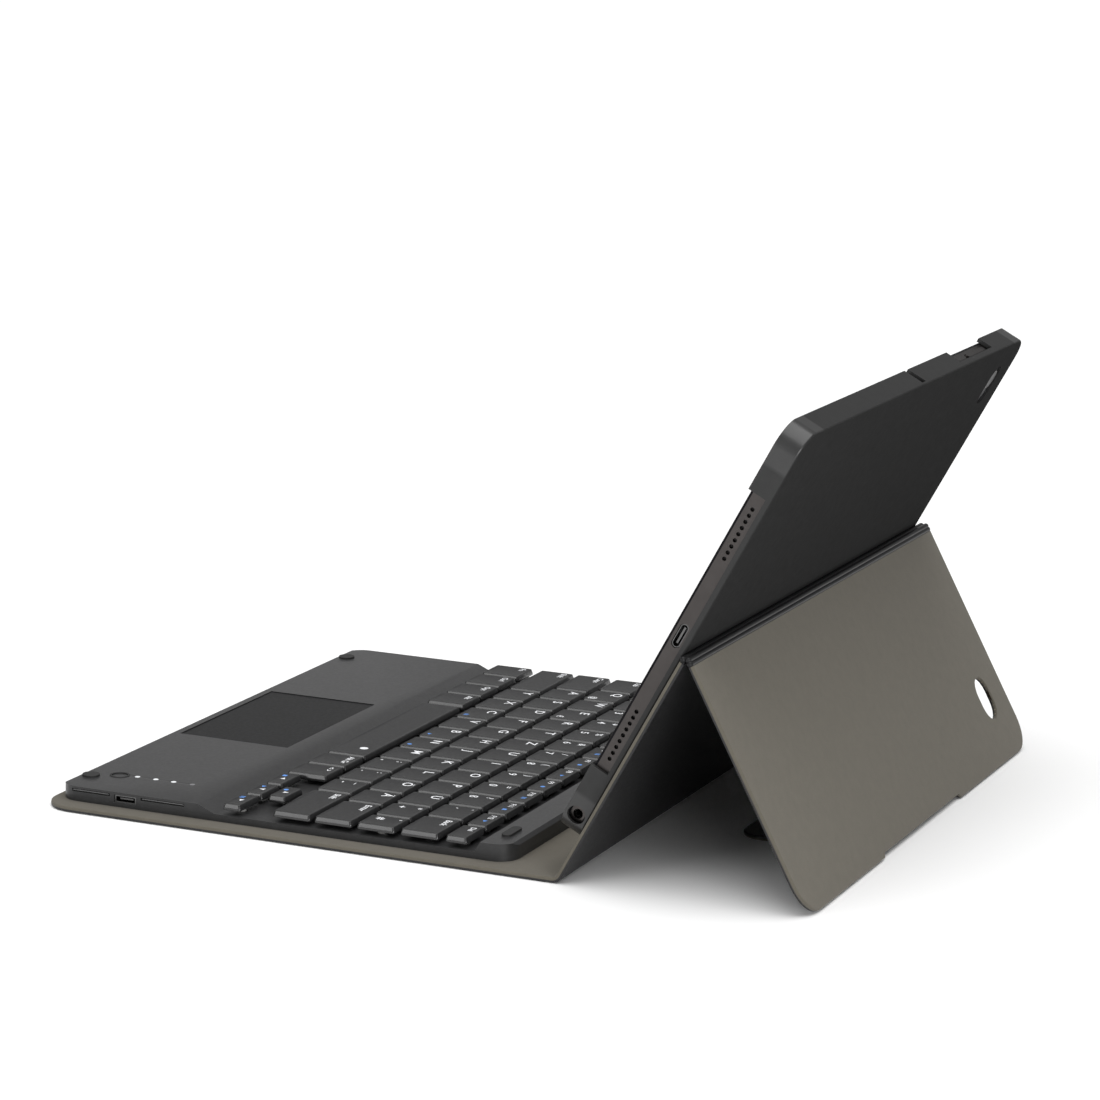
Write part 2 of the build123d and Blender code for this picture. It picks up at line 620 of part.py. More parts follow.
with BuildPart() as keyboard_usb_socket:
    block((half_keyboard - 7.4, USB_Y - 4.2, SEAM + 0.15), (half_keyboard - 0.4, USB_Y + 4.2, SEAM + 2.7))
    block(
        (half_keyboard - 6.6, USB_Y - 3.8, SEAM + 0.5),
        (half_keyboard, USB_Y + 3.8, SEAM + 2.35),
        mode=Mode.SUBTRACT,
    )
    block((half_keyboard - 6.7, USB_Y - 2.6, SEAM + 1.1), (half_keyboard - 1.4, USB_Y + 2.6, SEAM + 1.7))
save(keyboard_usb_socket, "keyboard_usb_socket")

with BuildPart() as keyboard_power_button:
    with BuildSketch(Plane.XY.offset(floor_top + 2.7)) as button_face:
        with Locations(SWITCH_AT):
            Circle(2.75)
    extrude(amount=PALM_TOP - 0.15 - floor_top - 2.7)
save(keyboard_power_button, "keyboard_power_button")

with BuildPart() as status_lights:
    with BuildSketch(Plane.XY.offset(floor_top + 0.7)) as light_pipes:
        with Locations(*LIGHTS_AT):
            Circle(0.85)
    extrude(amount=PALM_TOP - 0.05 - floor_top - 0.7)
save(status_lights, "status_lights")

with BuildPart() as keyboard_bumpers:
    with BuildSketch(Plane.XY.offset(PALM_TOP)) as palm_bumpers:
        with Locations((-104.9, -193.2), (104.9, -193.2)):
            Circle(3.2)
    extrude(amount=0.7)
    with BuildSketch(Plane.XY.offset(STRIP_TOP)) as strip_bumpers:
        with Locations((-104.5, -27.2), (104.5, -27.2)):
            SlotOverall(12, 3.6)
    extrude(amount=0.7)
    fillet(keyboard_bumpers.faces().filter_by(Plane.XY).group_by(Axis.Z)[1].edges(), 0.3)
save(keyboard_bumpers, "keyboard_bumpers")

with BuildPart() as keyboard_magnets:
    for x in (-80, -24, 24, 80):
        block((x - 12, -29.6, floor_top), (x + 12, -23.6, floor_top + 1.5))
save(keyboard_magnets, "keyboard_magnets")

with BuildPart() as keyboard_screws:
    with BuildSketch(Plane.XY.offset(KEYBOARD_BASE + 0.15)) as heads:
        with Locations(*SCREWS_AT):
            Circle(1.6)
            RegularPolygon(0.6, 6, mode=Mode.SUBTRACT)
    extrude(amount=BOTTOM_FLOOR - 0.15)
    with BuildSketch(Plane.XY.offset(floor_top)) as shanks:
        with Locations(*SCREWS_AT):
            Circle(0.8)
    extrude(amount=3.0)
save(keyboard_screws, "keyboard_screws")


def cap(left, right, front, depth):
    """One keycap: tapered sides over a hollow for the dome."""
    middle = ((left + right) / 2, front + depth / 2)
    with BuildSketch(Plane.XY.offset(KEY_BOTTOM), mode=Mode.PRIVATE) as foot:
        with Locations(middle):
            RectangleRounded(right - left, depth, 0.9)
    extrude(foot.sketch, amount=KEY_TOP - KEY_BOTTOM, taper=KEY_TAPER)
    with BuildSketch(Plane.XY.offset(KEY_BOTTOM), mode=Mode.PRIVATE) as hollow:
        with Locations(middle):
            Rectangle(right - left - 2 * KEY_WALL, depth - 2 * KEY_WALL)
    extrude(hollow.sketch, amount=KEY_TOP - KEY_ROOF - KEY_BOTTOM, taper=KEY_TAPER, mode=Mode.SUBTRACT)


for group in dict.fromkeys(entry[0] for entry in key_caps):
    with BuildPart() as keys:
        for name, *place in key_caps:
            if name == group:
                cap(*place)
    save(keys, group)
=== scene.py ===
"""Looks of the tablet keyboard case: its wrapped cover, keycaps with legends, finishes, floor and lights.

Metres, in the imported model's frame: X along the folds, Y away from the user, Z up.
"""
import json
import math

import bmesh
import bpy
from mathutils import Matrix, Vector


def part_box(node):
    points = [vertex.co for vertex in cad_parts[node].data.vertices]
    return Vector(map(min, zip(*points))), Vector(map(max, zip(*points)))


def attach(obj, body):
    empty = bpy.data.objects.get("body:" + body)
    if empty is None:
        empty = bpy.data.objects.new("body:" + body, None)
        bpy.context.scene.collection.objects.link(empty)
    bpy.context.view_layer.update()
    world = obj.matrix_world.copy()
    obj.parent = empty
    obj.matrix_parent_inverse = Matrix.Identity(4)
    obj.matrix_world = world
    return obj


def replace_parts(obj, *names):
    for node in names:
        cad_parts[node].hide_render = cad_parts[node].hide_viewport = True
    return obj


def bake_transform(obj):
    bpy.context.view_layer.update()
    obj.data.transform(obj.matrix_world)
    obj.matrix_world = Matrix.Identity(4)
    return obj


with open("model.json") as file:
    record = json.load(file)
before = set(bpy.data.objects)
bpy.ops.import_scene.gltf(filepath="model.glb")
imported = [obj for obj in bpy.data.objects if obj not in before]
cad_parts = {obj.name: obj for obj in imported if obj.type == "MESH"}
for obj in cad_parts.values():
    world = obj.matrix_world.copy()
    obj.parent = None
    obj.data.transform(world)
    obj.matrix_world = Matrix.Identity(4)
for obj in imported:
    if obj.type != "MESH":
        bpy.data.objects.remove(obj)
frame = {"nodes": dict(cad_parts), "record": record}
for imported in list(bpy.data.materials):
    bpy.data.materials.remove(imported)
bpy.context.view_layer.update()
MM = 0.001  # metres
CAD = frame["nodes"]
JOINTS = {joint["name"]: joint for joint in frame["record"]["behaviour"]["joints"]}


def pivot(name):
    """A fold's axis, as a point in the middle of the width."""
    _, y, z = JOINTS[name]["pos_m"]
    return Vector((0, y, z))


# ---- the cover's planes, from the fold axes ----
crease, spine_axis = pivot("crease_fold"), pivot("front_fold")
back_axis, fold_axis, flap_axis = pivot("back_fold"), pivot("strut_fold"), pivot("flap_fold")
X, Y, Z = Vector((1, 0, 0)), Vector((0, 1, 0)), Vector((0, 0, 1))
UP_LEAN = (back_axis - crease).normalized()
SCREEN = X.cross(UP_LEAN)
low_front, high_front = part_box("front_skin")
HALF_WIDTH = high_front.x
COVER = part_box("front_lining")[1].z - low_front.z
STRUT_ANGLE = math.radians(61.3)
DOWN_STRUT = Vector((0, math.cos(STRUT_ANGLE), -math.sin(STRUT_ANGLE)))
REAR = DOWN_STRUT.cross(X) * -1
FOLD_UP = (fold_axis - crease).dot(UP_LEAN)
BACK_UP = (back_axis - crease).length


def plane(origin, x_dir, y_dir, z_dir):
    """Maps a local (x, y, z) to the frame."""
    return Matrix((
        (x_dir.x, y_dir.x, z_dir.x, origin.x),
        (x_dir.y, y_dir.y, z_dir.y, origin.y),
        (x_dir.z, y_dir.z, z_dir.z, origin.z),
        (0, 0, 0, 1),
    ))


MID = COVER / 2
FLOOR = plane(Vector((0, crease.y, 0)), X, Y, Z)
LEAN = plane(crease - SCREEN * MID, X, UP_LEAN, SCREEN)
STRUT = plane(fold_axis - REAR * MID, X, DOWN_STRUT, REAR)
UPRIGHT = plane(Vector((0, 0, 0)), X, Y, Z)
LEANING = plane(crease, X, UP_LEAN, SCREEN)


# ================================ materials ================================
def material(name, color, rough, metallic=0.0, **sockets):
    """A Principled material whose even values are constants on the shader's own sockets."""
    made = bpy.data.materials.new(name)
    made.use_nodes = True
    shader = made.node_tree.nodes["Principled BSDF"]
    shader.inputs["Base Color"].default_value = (*color, 1)
    shader.inputs["Roughness"].default_value = rough
    shader.inputs["Metallic"].default_value = metallic
    for key, value in sockets.items():
        shader.inputs[key.replace("_", " ")].default_value = value
    return made


def node(made, kind, links=(), **settings):
    """Adds a node, sets its properties or sockets, and links its inputs to (input, output socket) pairs."""
    tree = made.node_tree
    new = tree.nodes.new(kind)
    for key, value in settings.items():
        if hasattr(new, key):
            setattr(new, key, value)
        else:
            new.inputs[key.replace("_", " ")].default_value = value
    for name, source in links:
        tree.links.new(source, new.inputs[name])
    return new


def place(made):
    """Object coordinates: the same as the frame's, for every piece."""
    return node(made, "ShaderNodeTexCoord").outputs["Object"]


def feed(made, socket, source):
    """Links an output to one of the shader's sockets."""
    made.node_tree.links.new(source, made.node_tree.nodes["Principled BSDF"].inputs[socket])


def noise(made, size, detail=3.0, stretch=None, rough=0.5):
    """Noise whose features are about size across, in metres."""
    where = place(made)
    if stretch:
        where = node(made, "ShaderNodeMapping", [("Vector", where)], Scale=stretch).outputs["Vector"]
    made_noise = node(
        made, "ShaderNodeTexNoise", [("Vector", where)], Scale=1 / size, Detail=detail, Roughness=rough
    )
    return made_noise.outputs["Fac"]


def ramp(made, source, low, high, start=0.3, end=0.7):
    """The source's values from start to end, turned into values from low to high."""
    mapped = node(made, "ShaderNodeMapRange", [("Value", source)])
    for key, value in (("From Min", start), ("From Max", end), ("To Min", low), ("To Max", high)):
        mapped.inputs[key].default_value = value
    return mapped.outputs["Result"]


def mottle(made, source, low, high, start=0.3, end=0.7):
    """Base colour between two colours, by the source."""
    share = ramp(made, source, 0, 1, start, end)
    mix = node(made, "ShaderNodeMix", data_type="RGBA")
    mix.inputs[6].default_value = (*low, 1)
    mix.inputs[7].default_value = (*high, 1)
    made.node_tree.links.new(share, mix.inputs[0])
    feed(made, "Base Color", mix.outputs[2])
    return mix.outputs[2]


def relief(made, heights):
    """Chained bumps from (height, depth in metres, strength)."""
    normal = None
    for height, depth, strength in heights:
        links = [("Height", height)] + ([("Normal", normal)] if normal else [])
        bump = node(made, "ShaderNodeBump", links, Distance=depth, Strength=strength)
        normal = bump.outputs["Normal"]
    feed(made, "Normal", normal)


def cells(made, size):
    """Pebbled grain: the distance to the nearest cell's centre."""
    return node(
        made, "ShaderNodeTexVoronoi", [("Vector", place(made))], Scale=1 / size, feature="SMOOTH_F1"
    ).outputs["Distance"]


def plastic(name, color, rough, grain=0.35 * MM, depth=0.03 * MM, vary=0.12, **sockets):
    """Moulded plastic: fine spark-eroded grain, and a roughness that varies a little with handling."""
    made = material(name, color, rough, **sockets)
    fine = noise(made, grain, 4)
    mottle(made, noise(made, 3 * MM, 5), [c * (1 - vary) for c in color], [c * (1 + vary) for c in color])
    feed(made, "Roughness", ramp(made, noise(made, 1.4 * MM, 5), rough * 0.94, rough * 1.06))
    relief(made, [(fine, depth, 0.6)])
    return made


def metal(name, color, rough, brush=(1, 1, 1), size=0.3 * MM, **sockets):
    """Anodised or plated metal, with a fine blasted or brushed surface."""
    made = material(name, color, rough, metallic=1.0, **sockets)
    fine = noise(made, size, 3, stretch=brush)
    feed(made, "Roughness", ramp(made, fine, rough * 0.85, rough * 1.2))
    mottle(made, noise(made, 6 * MM), [c * 0.93 for c in color], [c * 1.05 for c in color])
    relief(made, [(fine, 0.01 * MM, 0.4)])
    return made


def leather():
    """Black polyurethane skin: a fine pebbled grain, satin."""
    made = material("cover_skin", (0.016, 0.016, 0.0165), 0.45, Specular_IOR_Level=0.32)
    mottle(made, noise(made, 2 * MM, 4), (0.013, 0.013, 0.0135), (0.019, 0.019, 0.0195))
    feed(made, "Roughness", ramp(made, noise(made, 1.2 * MM, 4), 0.43, 0.48))
    relief(made, [(cells(made, 0.55 * MM), 0.04 * MM, 0.35)])
    return made


def microfibre():
    """Taupe microfibre: short nap in faint clouds, with a fine fibrous tooth."""
    light, dark = (0.096, 0.086, 0.067), (0.081, 0.073, 0.056)
    made = material("cover_lining", light, 0.95, Sheen_Weight=0.10, Sheen_Roughness=0.5)
    clouds = noise(made, 4 * MM, 5, rough=0.62)
    fibres = noise(made, 0.28 * MM, 4, rough=0.7)
    both = node(made, "ShaderNodeMath", operation="ADD")
    made.node_tree.links.new(clouds, both.inputs[0])
    made.node_tree.links.new(fibres, both.inputs[1])
    mottle(made, both.outputs[0], dark, light, 0.7, 1.3)
    relief(made, [(fibres, 0.05 * MM, 0.55), (noise(made, 2.5 * MM, 3), 0.05 * MM, 0.3)])
    return made


def times(made, *sources):
    """The product of the sources."""
    product = sources[0]
    for source in sources[1:]:
        step = node(made, "ShaderNodeMath", operation="MULTIPLY")
        made.node_tree.links.new(product, step.inputs[0])
        made.node_tree.links.new(source, step.inputs[1])
        product = step.outputs[0]
    return product


def along(made, direction, middle, folded):
    """A point's distance from the middle along a direction, either signed or folded about the middle."""
    dot = node(made, "ShaderNodeVectorMath", [("Vector", place(made))], operation="DOT_PRODUCT")
    dot.inputs[1].default_value = direction
    away = node(made, "ShaderNodeMath", operation="SUBTRACT")
    made.node_tree.links.new(dot.outputs["Value"], away.inputs[0])
    away.inputs[1].default_value = middle
    if not folded:
        return away.outputs[0]
    size = node(made, "ShaderNodeMath", operation="ABSOLUTE")
    made.node_tree.links.new(away.outputs[0], size.inputs[0])
    return size.outputs[0]


def extent(name, direction):
    """A CAD node's lowest and highest reach along a direction."""
    reaches = [vert.co.dot(direction) for vert in CAD[name].data.vertices]
    return min(reaches), max(reaches)


def shell():
    """The shell's plastic: matte on its back, satin on its walls, polished round its four corners."""
    made = plastic(
        "shell_plastic", (0.024, 0.024, 0.024), 0.5, grain=0.5 * MM, depth=0.01 * MM, vary=0.06,
        Specular_IOR_Level=0.0, Coat_Roughness=0.30,
    )
    zone, soft = 15 * MM, 1.5 * MM  # how far the polish reaches from each corner, and how it fades out
    masks = []
    for direction in (X, UP_LEAN):
        low, high = extent("shell_tray", direction)
        reach = (high - low) / 2
        away = along(made, direction, (low + high) / 2, True)
        masks.append(ramp(made, away, 0, 1, reach - zone - soft, reach - zone))
    corners = ramp(made, times(made, *masks), 0.45, 1, 0, 1)
    depth = along(made, SCREEN, extent("shell_tray", SCREEN)[0], False)
    walls = ramp(made, depth, 0, 1, 0.1 * MM, 0.6 * MM)
    feed(made, "Coat Weight", times(made, corners, walls))
    return made


def keycap():
    """Keycap plastic: matte on top, polished down the sides."""
    made = plastic(
        "keycap_plastic", (0.016, 0.016, 0.0165), 0.42, grain=0.3 * MM, depth=0.01 * MM,
        Specular_IOR_Level=0.22, Coat_Roughness=0.14,
    )
    parts = node(
        made, "ShaderNodeSeparateXYZ", [("Vector", node(made, "ShaderNodeTexCoord").outputs["Normal"])]
    )
    feed(made, "Coat Weight", ramp(made, parts.outputs["Z"], 0.9, 0, 0.5, 0.97))
    return made


def screen():
    """The tablet's front glass: a black border round a switched-off display that is a shade lighter."""
    made = plastic("tablet_glass", (0.004, 0.004, 0.005), 0.06, depth=0.001 * MM, Coat_Weight=0.5)
    border, soft = 8.5 * MM, 0.15 * MM  # the black border's width, and how it fades out
    masks = []
    for direction in (X, UP_LEAN):
        low, high = extent("tablet_glass", direction)
        reach = (high - low) / 2 - border
        away = along(made, direction, (low + high) / 2, True)
        masks.append(ramp(made, away, 1, 0, reach - soft, reach))
    mottle(made, times(made, *masks), (0.0025, 0.0025, 0.003), (0.0075, 0.0080, 0.0095), 0, 1)
    return made


SKIN = leather()
LINING = microfibre()
SHELL = shell()
KEYBOARD = plastic(
    "keyboard_plastic", (0.021, 0.021, 0.0215), 0.36, grain=0.4 * MM, depth=0.012 * MM,
    Specular_IOR_Level=0.4,
)
TOUCHPAD = plastic(
    "touchpad_surface", (0.008, 0.008, 0.0085), 0.42, grain=0.2 * MM, depth=0.006 * MM,
    Specular_IOR_Level=0.08,
)
KEYCAP = keycap()
RUBBER = plastic("bumper_rubber", (0.011, 0.011, 0.011), 0.7, grain=0.5 * MM, depth=0.03 * MM)
DOME = plastic("dome_rubber", (0.30, 0.30, 0.29), 0.6)
INNER = plastic("inner_plastic", (0.05, 0.05, 0.05), 0.5)
LEGEND = plastic("legend_ink", (0.80, 0.81, 0.83), 0.6, depth=0.005 * MM, vary=0.05)
BLUE_INK = plastic("legend_blue_ink", (0.10, 0.27, 0.68), 0.6, depth=0.005 * MM, vary=0.05)
LIGHT = plastic("light_pipe", (0.80, 0.82, 0.84), 0.35, depth=0.005 * MM, vary=0.03)
BEAD_SKIN = plastic(
    "bead_skin", (0.010, 0.010, 0.0105), 0.36, grain=0.4 * MM, depth=0.02 * MM, Specular_IOR_Level=0.2
)
BOARD = plastic("stiffener", (0.30, 0.24, 0.17), 0.9, grain=0.8 * MM, depth=0.1 * MM, vary=0.2)
GLUE = plastic("adhesive", (0.03, 0.03, 0.03), 0.6)
CIRCUIT = plastic("circuit_board", (0.012, 0.07, 0.03), 0.4, vary=0.2)
BATTERY = metal("battery_pack", (0.16, 0.16, 0.17), 0.4)
DIM_LIGHT = plastic("unlit_light_pipe", (0.16, 0.16, 0.165), 0.35, depth=0.005 * MM, vary=0.03)
METAL = metal("tablet_metal", (0.072, 0.066, 0.064), 0.36)
POLISHED = plastic("polished_plastic", (0.020, 0.020, 0.021), 0.14, depth=0.001 * MM, Coat_Weight=0.6)
CAMERA_BLACK = plastic(
    "camera_glass", (0.006, 0.006, 0.007), 0.3, depth=0.001 * MM, Specular_IOR_Level=0.05
)
# plated steel darkened as painted shade, for the sockets deep in their ports
STEEL_WITH_PAINTED_SHADE = metal("steel_with_painted_shade", (0.13, 0.13, 0.13), 0.3)
STEEL = metal("plated_steel", (0.50, 0.50, 0.49), 0.24, brush=(1, 1, 0.1))
MAGNET = metal("magnet", (0.55, 0.55, 0.56), 0.22)
GLASS = screen()
DISPLAY = plastic("display_stack", (0.02, 0.02, 0.025), 0.3)
BY_SLOT = {
    "cover_skin": SKIN, "cover_lining": LINING, "stiffener": BOARD, "magnet": MAGNET, "adhesive": GLUE,
    "shell_plastic": SHELL, "tablet_metal": METAL, "tablet_glass": GLASS, "display_stack": DISPLAY,
    "battery_pack": BATTERY, "circuit_board": CIRCUIT, "plated_steel": STEEL, "inner_plastic": INNER,
    "keyboard_plastic": KEYBOARD, "touchpad_surface": TOUCHPAD, "dome_rubber": DOME,
    "bumper_rubber": RUBBER, "light_pipe": LIGHT, "keycap_plastic": KEYCAP,
}


# ================================ CAD nodes ================================
# the two sockets take the steel darkened as painted shade inside their ports
OWN_FINISH = {
    "tablet_usb_socket": STEEL_WITH_PAINTED_SHADE, "keyboard_usb_socket": STEEL_WITH_PAINTED_SHADE, "tablet_camera": CAMERA_BLACK,
}
EDGES = {  # how far each one's edges are eased, in millimetres
    "keyboard_top": 0.3, "keyboard_bottom": 0.3, "touchpad": 0.1,
    "tablet_glass": 0.15, "keyboard_power_button": 0.15,
    "tablet_power_button": 0.15, "tablet_volume_button": 0.15,
}
WELD = 0.002 * MM  # vertices nearer than this are one
SHARP = math.radians(38)  # edges that turn by more than this are eased


def finish_node(name, slot):
    """Gives a CAD node its finish, and eases the edges of the ones that show."""
    shape = CAD[name]
    shape.data.materials.clear()
    shape.data.materials.append(OWN_FINISH.get(name, BY_SLOT[slot]))
    if name in EDGES:
        weld = shape.modifiers.new("weld", "WELD")
        weld.merge_threshold = WELD
        ease = shape.modifiers.new("ease", "BEVEL")
        ease.width = EDGES[name] * MM
        ease.segments = 2
        ease.limit_method = "ANGLE"
        ease.angle_limit = SHARP
        ease.harden_normals = False
        even = shape.modifiers.new("even", "WEIGHTED_NORMAL")
        even.keep_sharp = False


for part in frame["record"]["subparts"]:
    finish_node(part["node"], part["material_slot"])


# ================================ mesh helpers ================================
def piece(name, bm, made, body=None, stands_for=(), smooth=40):
    """Turns a bmesh into a piece: smooth up to the given angle, with its finish, riding on a body."""
    bmesh.ops.recalc_face_normals(bm, faces=bm.faces)
    limit = math.radians(smooth)
    for face in bm.faces:
        face.smooth = True
    for edge in bm.edges:
        if len(edge.link_faces) == 2 and edge.calc_face_angle(0) > limit:
            edge.smooth = False
    mesh = bpy.data.meshes.new(name)
    bm.to_mesh(mesh)
    bm.free()
    made_piece = bpy.data.objects.new(name, mesh)
    bpy.context.scene.collection.objects.link(made_piece)
    mesh.materials.append(made)
    even = made_piece.modifiers.new("even", "WEIGHTED_NORMAL")
    even.keep_sharp = True
    if body:
        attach(made_piece, body)
    if stands_for:
        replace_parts(made_piece, *stands_for)
    return made_piece


def rounded(left, right, low, high, radii, steps=6):
    """Points round a rectangle, whose four corners (from low left, anticlockwise) have their own radii."""
    points = []
    corners = ((left, low, 180), (right, low, 270), (right, high, 0), (left, high, 90))
    for (x, y, start), radius in zip(corners, radii):
        inward_x = 1 if x == left else -1
        inward_y = 1 if y == low else -1
        for i in range(steps + 1):
            angle = math.radians(start + 90 * i / steps)
            points.append((
                x + inward_x * radius + radius * math.cos(angle),
                y + inward_y * radius + radius * math.sin(angle),
            ))
    return points


def bridge(bm, below, above):
    """Skins between two loops of as many vertices each."""
    for i in range(len(below)):
        j = (i + 1) % len(below)
        bm.faces.new((below[i], below[j], above[j], above[i]))


def rings(bm, levels, close_first=True, close_last=True):
    """Skins a stack of rings, each a list of points, and caps its ends."""
    loops = [[bm.verts.new(point) for point in level] for level in levels]
    for below, above in zip(loops, loops[1:]):
        bridge(bm, below, above)
    if close_first:
        bm.faces.new(reversed(loops[0]))
    if close_last:
        bm.faces.new(loops[-1])
    return loops


def cap_with_hole(bm, outer, hole):
    """Fills between an outer loop of vertices and a hole's loop."""
    edges = []
    for loop in (outer, hole):
        for i in range(len(loop)):
            pair = (loop[i], loop[(i + 1) % len(loop)])
            edges.append(bm.edges.get(pair) or bm.edges.new(pair))
    bmesh.ops.triangle_fill(bm, edges=edges, use_beauty=True)


# ================================ cover ================================
EDGE = 0.55 * MM  # how far the pressed edges round over
LEAF_CORNER = 12 * MM  # radius of the front leaf's and the strut's outer corners
CRISP = 0.02 * MM  # the rounding of an edge that should look square
SPLIT = 0.45  # share of the thickness where the lining meets the skin at an edge


def edge_levels(bottom, top, round_bottom, round_top):
    """(inset, height) up a sheet's edge, rounded below and above."""
    levels = []
    for i in range(4):
        turn = math.radians(90 * i / 3)
        levels.append((round_bottom * (1 - math.sin(turn)), bottom + round_bottom * (1 - math.cos(turn))))
    for i in range(4):
        turn = math.radians(90 * i / 3)
        levels.append((round_top * (1 - math.cos(turn)), top - round_top * (1 - math.sin(turn))))
    return levels


def slab(where, outline_at, bottom, top, round_bottom, round_top, hole_at=None):
    """A flat sheet between two heights, with rounded edges. outline_at(inset) gives its outline."""
    bm = bmesh.new()
    levels = edge_levels(bottom, top, round_bottom, round_top)

    def ring(shape, inset, height):
        return [where @ Vector((x, y, height)) for x, y in shape(inset)]

    outer = rings(bm, [ring(outline_at, *level) for level in levels], not hole_at, not hole_at)
    if hole_at:
        inner = rings(bm, [ring(hole_at, *level) for level in levels], False, False)
        cap_with_hole(bm, outer[0], inner[0])
        cap_with_hole(bm, outer[-1], inner[-1])
    return bm


CORNER_STEPS = 8


def leaf_outline(low, high, half, low_radius, high_radius, notch=None):
    """An outline maker for a leaf; an end with no corner radius meets the next piece, so it isn't inset."""
    def at(inset):
        left, right = -half + inset, half - inset
        bottom = low + (inset if low_radius else 0)
        above = high - (inset if high_radius else 0)
        r_low = max(low_radius - inset, CRISP)
        r_high = max(high_radius - inset, CRISP)
        points = rounded(left, right, bottom, above, (r_low, r_low, r_high, r_high), CORNER_STEPS)
        if notch:
            start, end, depth = notch
            points[3 * (CORNER_STEPS + 1):3 * (CORNER_STEPS + 1)] = [
                (end + inset, above), (end - depth + inset, above - depth),
                (start + depth - inset, above - depth), (start - inset, above),
            ]
        return points
    return at


def pill(centre_x, centre_y, half_width, half_length, steps=10):
    """An outline maker for a pill-shaped hole, long along local Y."""
    def at(inset):
        points = []
        radius = half_width + inset
        for sign, start in ((1, 0), (-1, 180)):
            for i in range(steps + 1):
                angle = math.radians(start + 180 * i / steps)
                points.append((
                    centre_x + radius * math.cos(angle),
                    centre_y + sign * (half_length - half_width) + radius * math.sin(angle),
                ))
        return points
    return at


def circle(centre_x, centre_y, radius, steps=24):
    """An outline maker for a disc; it grows with the inset when the disc is a hole."""
    def at(inset):
        size, turns = radius + inset, [math.tau * k / steps for k in range(steps)]
        return [(centre_x + size * math.cos(a), centre_y + size * math.sin(a)) for a in turns]
    return at


def inward(outline_at):
    """The same outline, shrinking with the inset."""
    return lambda inset: outline_at(-inset)


def leaf(name, where, outline_at, body, stands_for, hole_at=None):
    """A leaf of the cover: the skin below and the lining above, meeting along the edge."""
    split = COVER * SPLIT
    skin = slab(where, outline_at, 0, split, EDGE, CRISP, hole_at)
    piece(f"{name}_outer", skin, SKIN, body, (stands_for[0],))
    lining = slab(where, outline_at, split, COVER, CRISP, EDGE, hole_at)
    piece(f"{name}_inner", lining, LINING, body, (stands_for[1],))


def section(half, bottom, top, round_bottom, round_top):
    """A sheet's cross-section, across the cover."""
    levels = edge_levels(bottom, top, round_bottom, round_top)
    return [(half - inset, height) for inset, height in levels] + [
        (inset - half, height) for inset, height in reversed(levels)
    ]


def bend(name, stations, made, layer, stands_for=()):
    """A soft strip across a fold. stations are (point on the outer face, normal to the lining side)."""
    bm = bmesh.new()
    levels = []
    for point, normal in stations:
        levels.append([point + X * x + normal * z for x, z in layer])
    rings(bm, levels)
    made_piece = piece(name, bm, made, None, stands_for)
    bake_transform(made_piece)
    return made_piece


def run(where, low, high, count=2):
    """Stations along a flat stretch of a plane."""
    normal = (where.to_3x3() @ Vector((0, 0, 1))).normalized()
    return [(where @ Vector((0, low + (high - low) * i / (count - 1), 0)), normal) for i in range(count)]


skin_layer = section(HALF_WIDTH, 0, COVER * SPLIT, EDGE, CRISP)
lining_layer = section(HALF_WIDTH, COVER * SPLIT, COVER, CRISP, EDGE)


def soft_pair(name, stations, stands_for=((), ())):
    """A soft strip's skin and lining."""
    bend(f"{name}_outer", stations, SKIN, skin_layer, stands_for[0])
    bend(f"{name}_inner", stations, LINING, lining_layer, stands_for[1])


FLEX = 2.2 * MM  # from a flat fold's axis to where the bend ends
spine_y = spine_axis.y - crease.y
front_y = low_front.y - crease.y
leaf(
    "front_leaf", FLOOR, leaf_outline(front_y, spine_y - FLEX, HALF_WIDTH, LEAF_CORNER, 0),
    "front_cover", ("front_skin", "front_lining"),
)
soft_pair(
    "spine_bend", run(FLOOR, spine_y - FLEX, spine_y + FLEX, 13),
)

# the crease: from the floor spine, round the bend, up to the middle of the leaning spine
TURN = 2.0 * MM  # how far from the crease's axis its bend starts and ends
crease_angle = math.acos(UP_LEAN.y)
crease_radius = TURN / math.tan(crease_angle / 2)
stations = run(FLOOR, spine_y + FLEX, -TURN, 3)
centre = FLOOR @ Vector((0, -TURN, MID + crease_radius))
for i in range(1, 10):
    turned = crease_angle * i / 10
    normal = Vector((0, -math.sin(turned), math.cos(turned)))
    stations.append((centre - normal * (crease_radius + MID), normal))
stations += run(LEAN, TURN, BACK_UP - FLEX, 3)
soft_pair(
    "crease_bend", stations,
    (("spine_floor_skin", "spine_lean_skin"), ("spine_floor_lining", "spine_lean_lining")),
)
soft_pair(
    "back_bend", run(LEAN, BACK_UP - FLEX, BACK_UP + FLEX, 13),
)
HINGE_GAP = 1.5 * MM  # from the fold's axis to the leaf on either side
BACK_TOP = FOLD_UP - HINGE_GAP
leaf(
    "back_leaf", LEAN, leaf_outline(BACK_UP + FLEX, BACK_TOP, HALF_WIDTH, 0, 0),
    "back_shell", ("back_skin", "back_lining"),
)

# the strut, with its camera window and the shallow recess along its lower edge
RECESS = (-41 * MM, 49 * MM, 1.5 * MM)  # the recess's start and end across the cover, and its depth
WINDOW_HALF_WIDTH, WINDOW_HALF_LENGTH = 6.5 * MM, 8.5 * MM
strut_length = (fold_axis.z - MID * math.cos(STRUT_ANGLE)) / math.sin(STRUT_ANGLE)
window_low, window_high = frame["record"]["physics"]["openings"][0]["box_m"]
window_mid = (Vector(window_low) + Vector(window_high)) / 2
window_down = (window_mid - fold_axis).dot(DOWN_STRUT)
leaf(
    "strut_leaf", STRUT,
    leaf_outline(HINGE_GAP, strut_length, HALF_WIDTH, 0, LEAF_CORNER, RECESS),
    "strut", ("strut_skin", "strut_lining"),
    pill(window_mid.x, window_down, WINDOW_HALF_WIDTH, WINDOW_HALF_LENGTH),
)


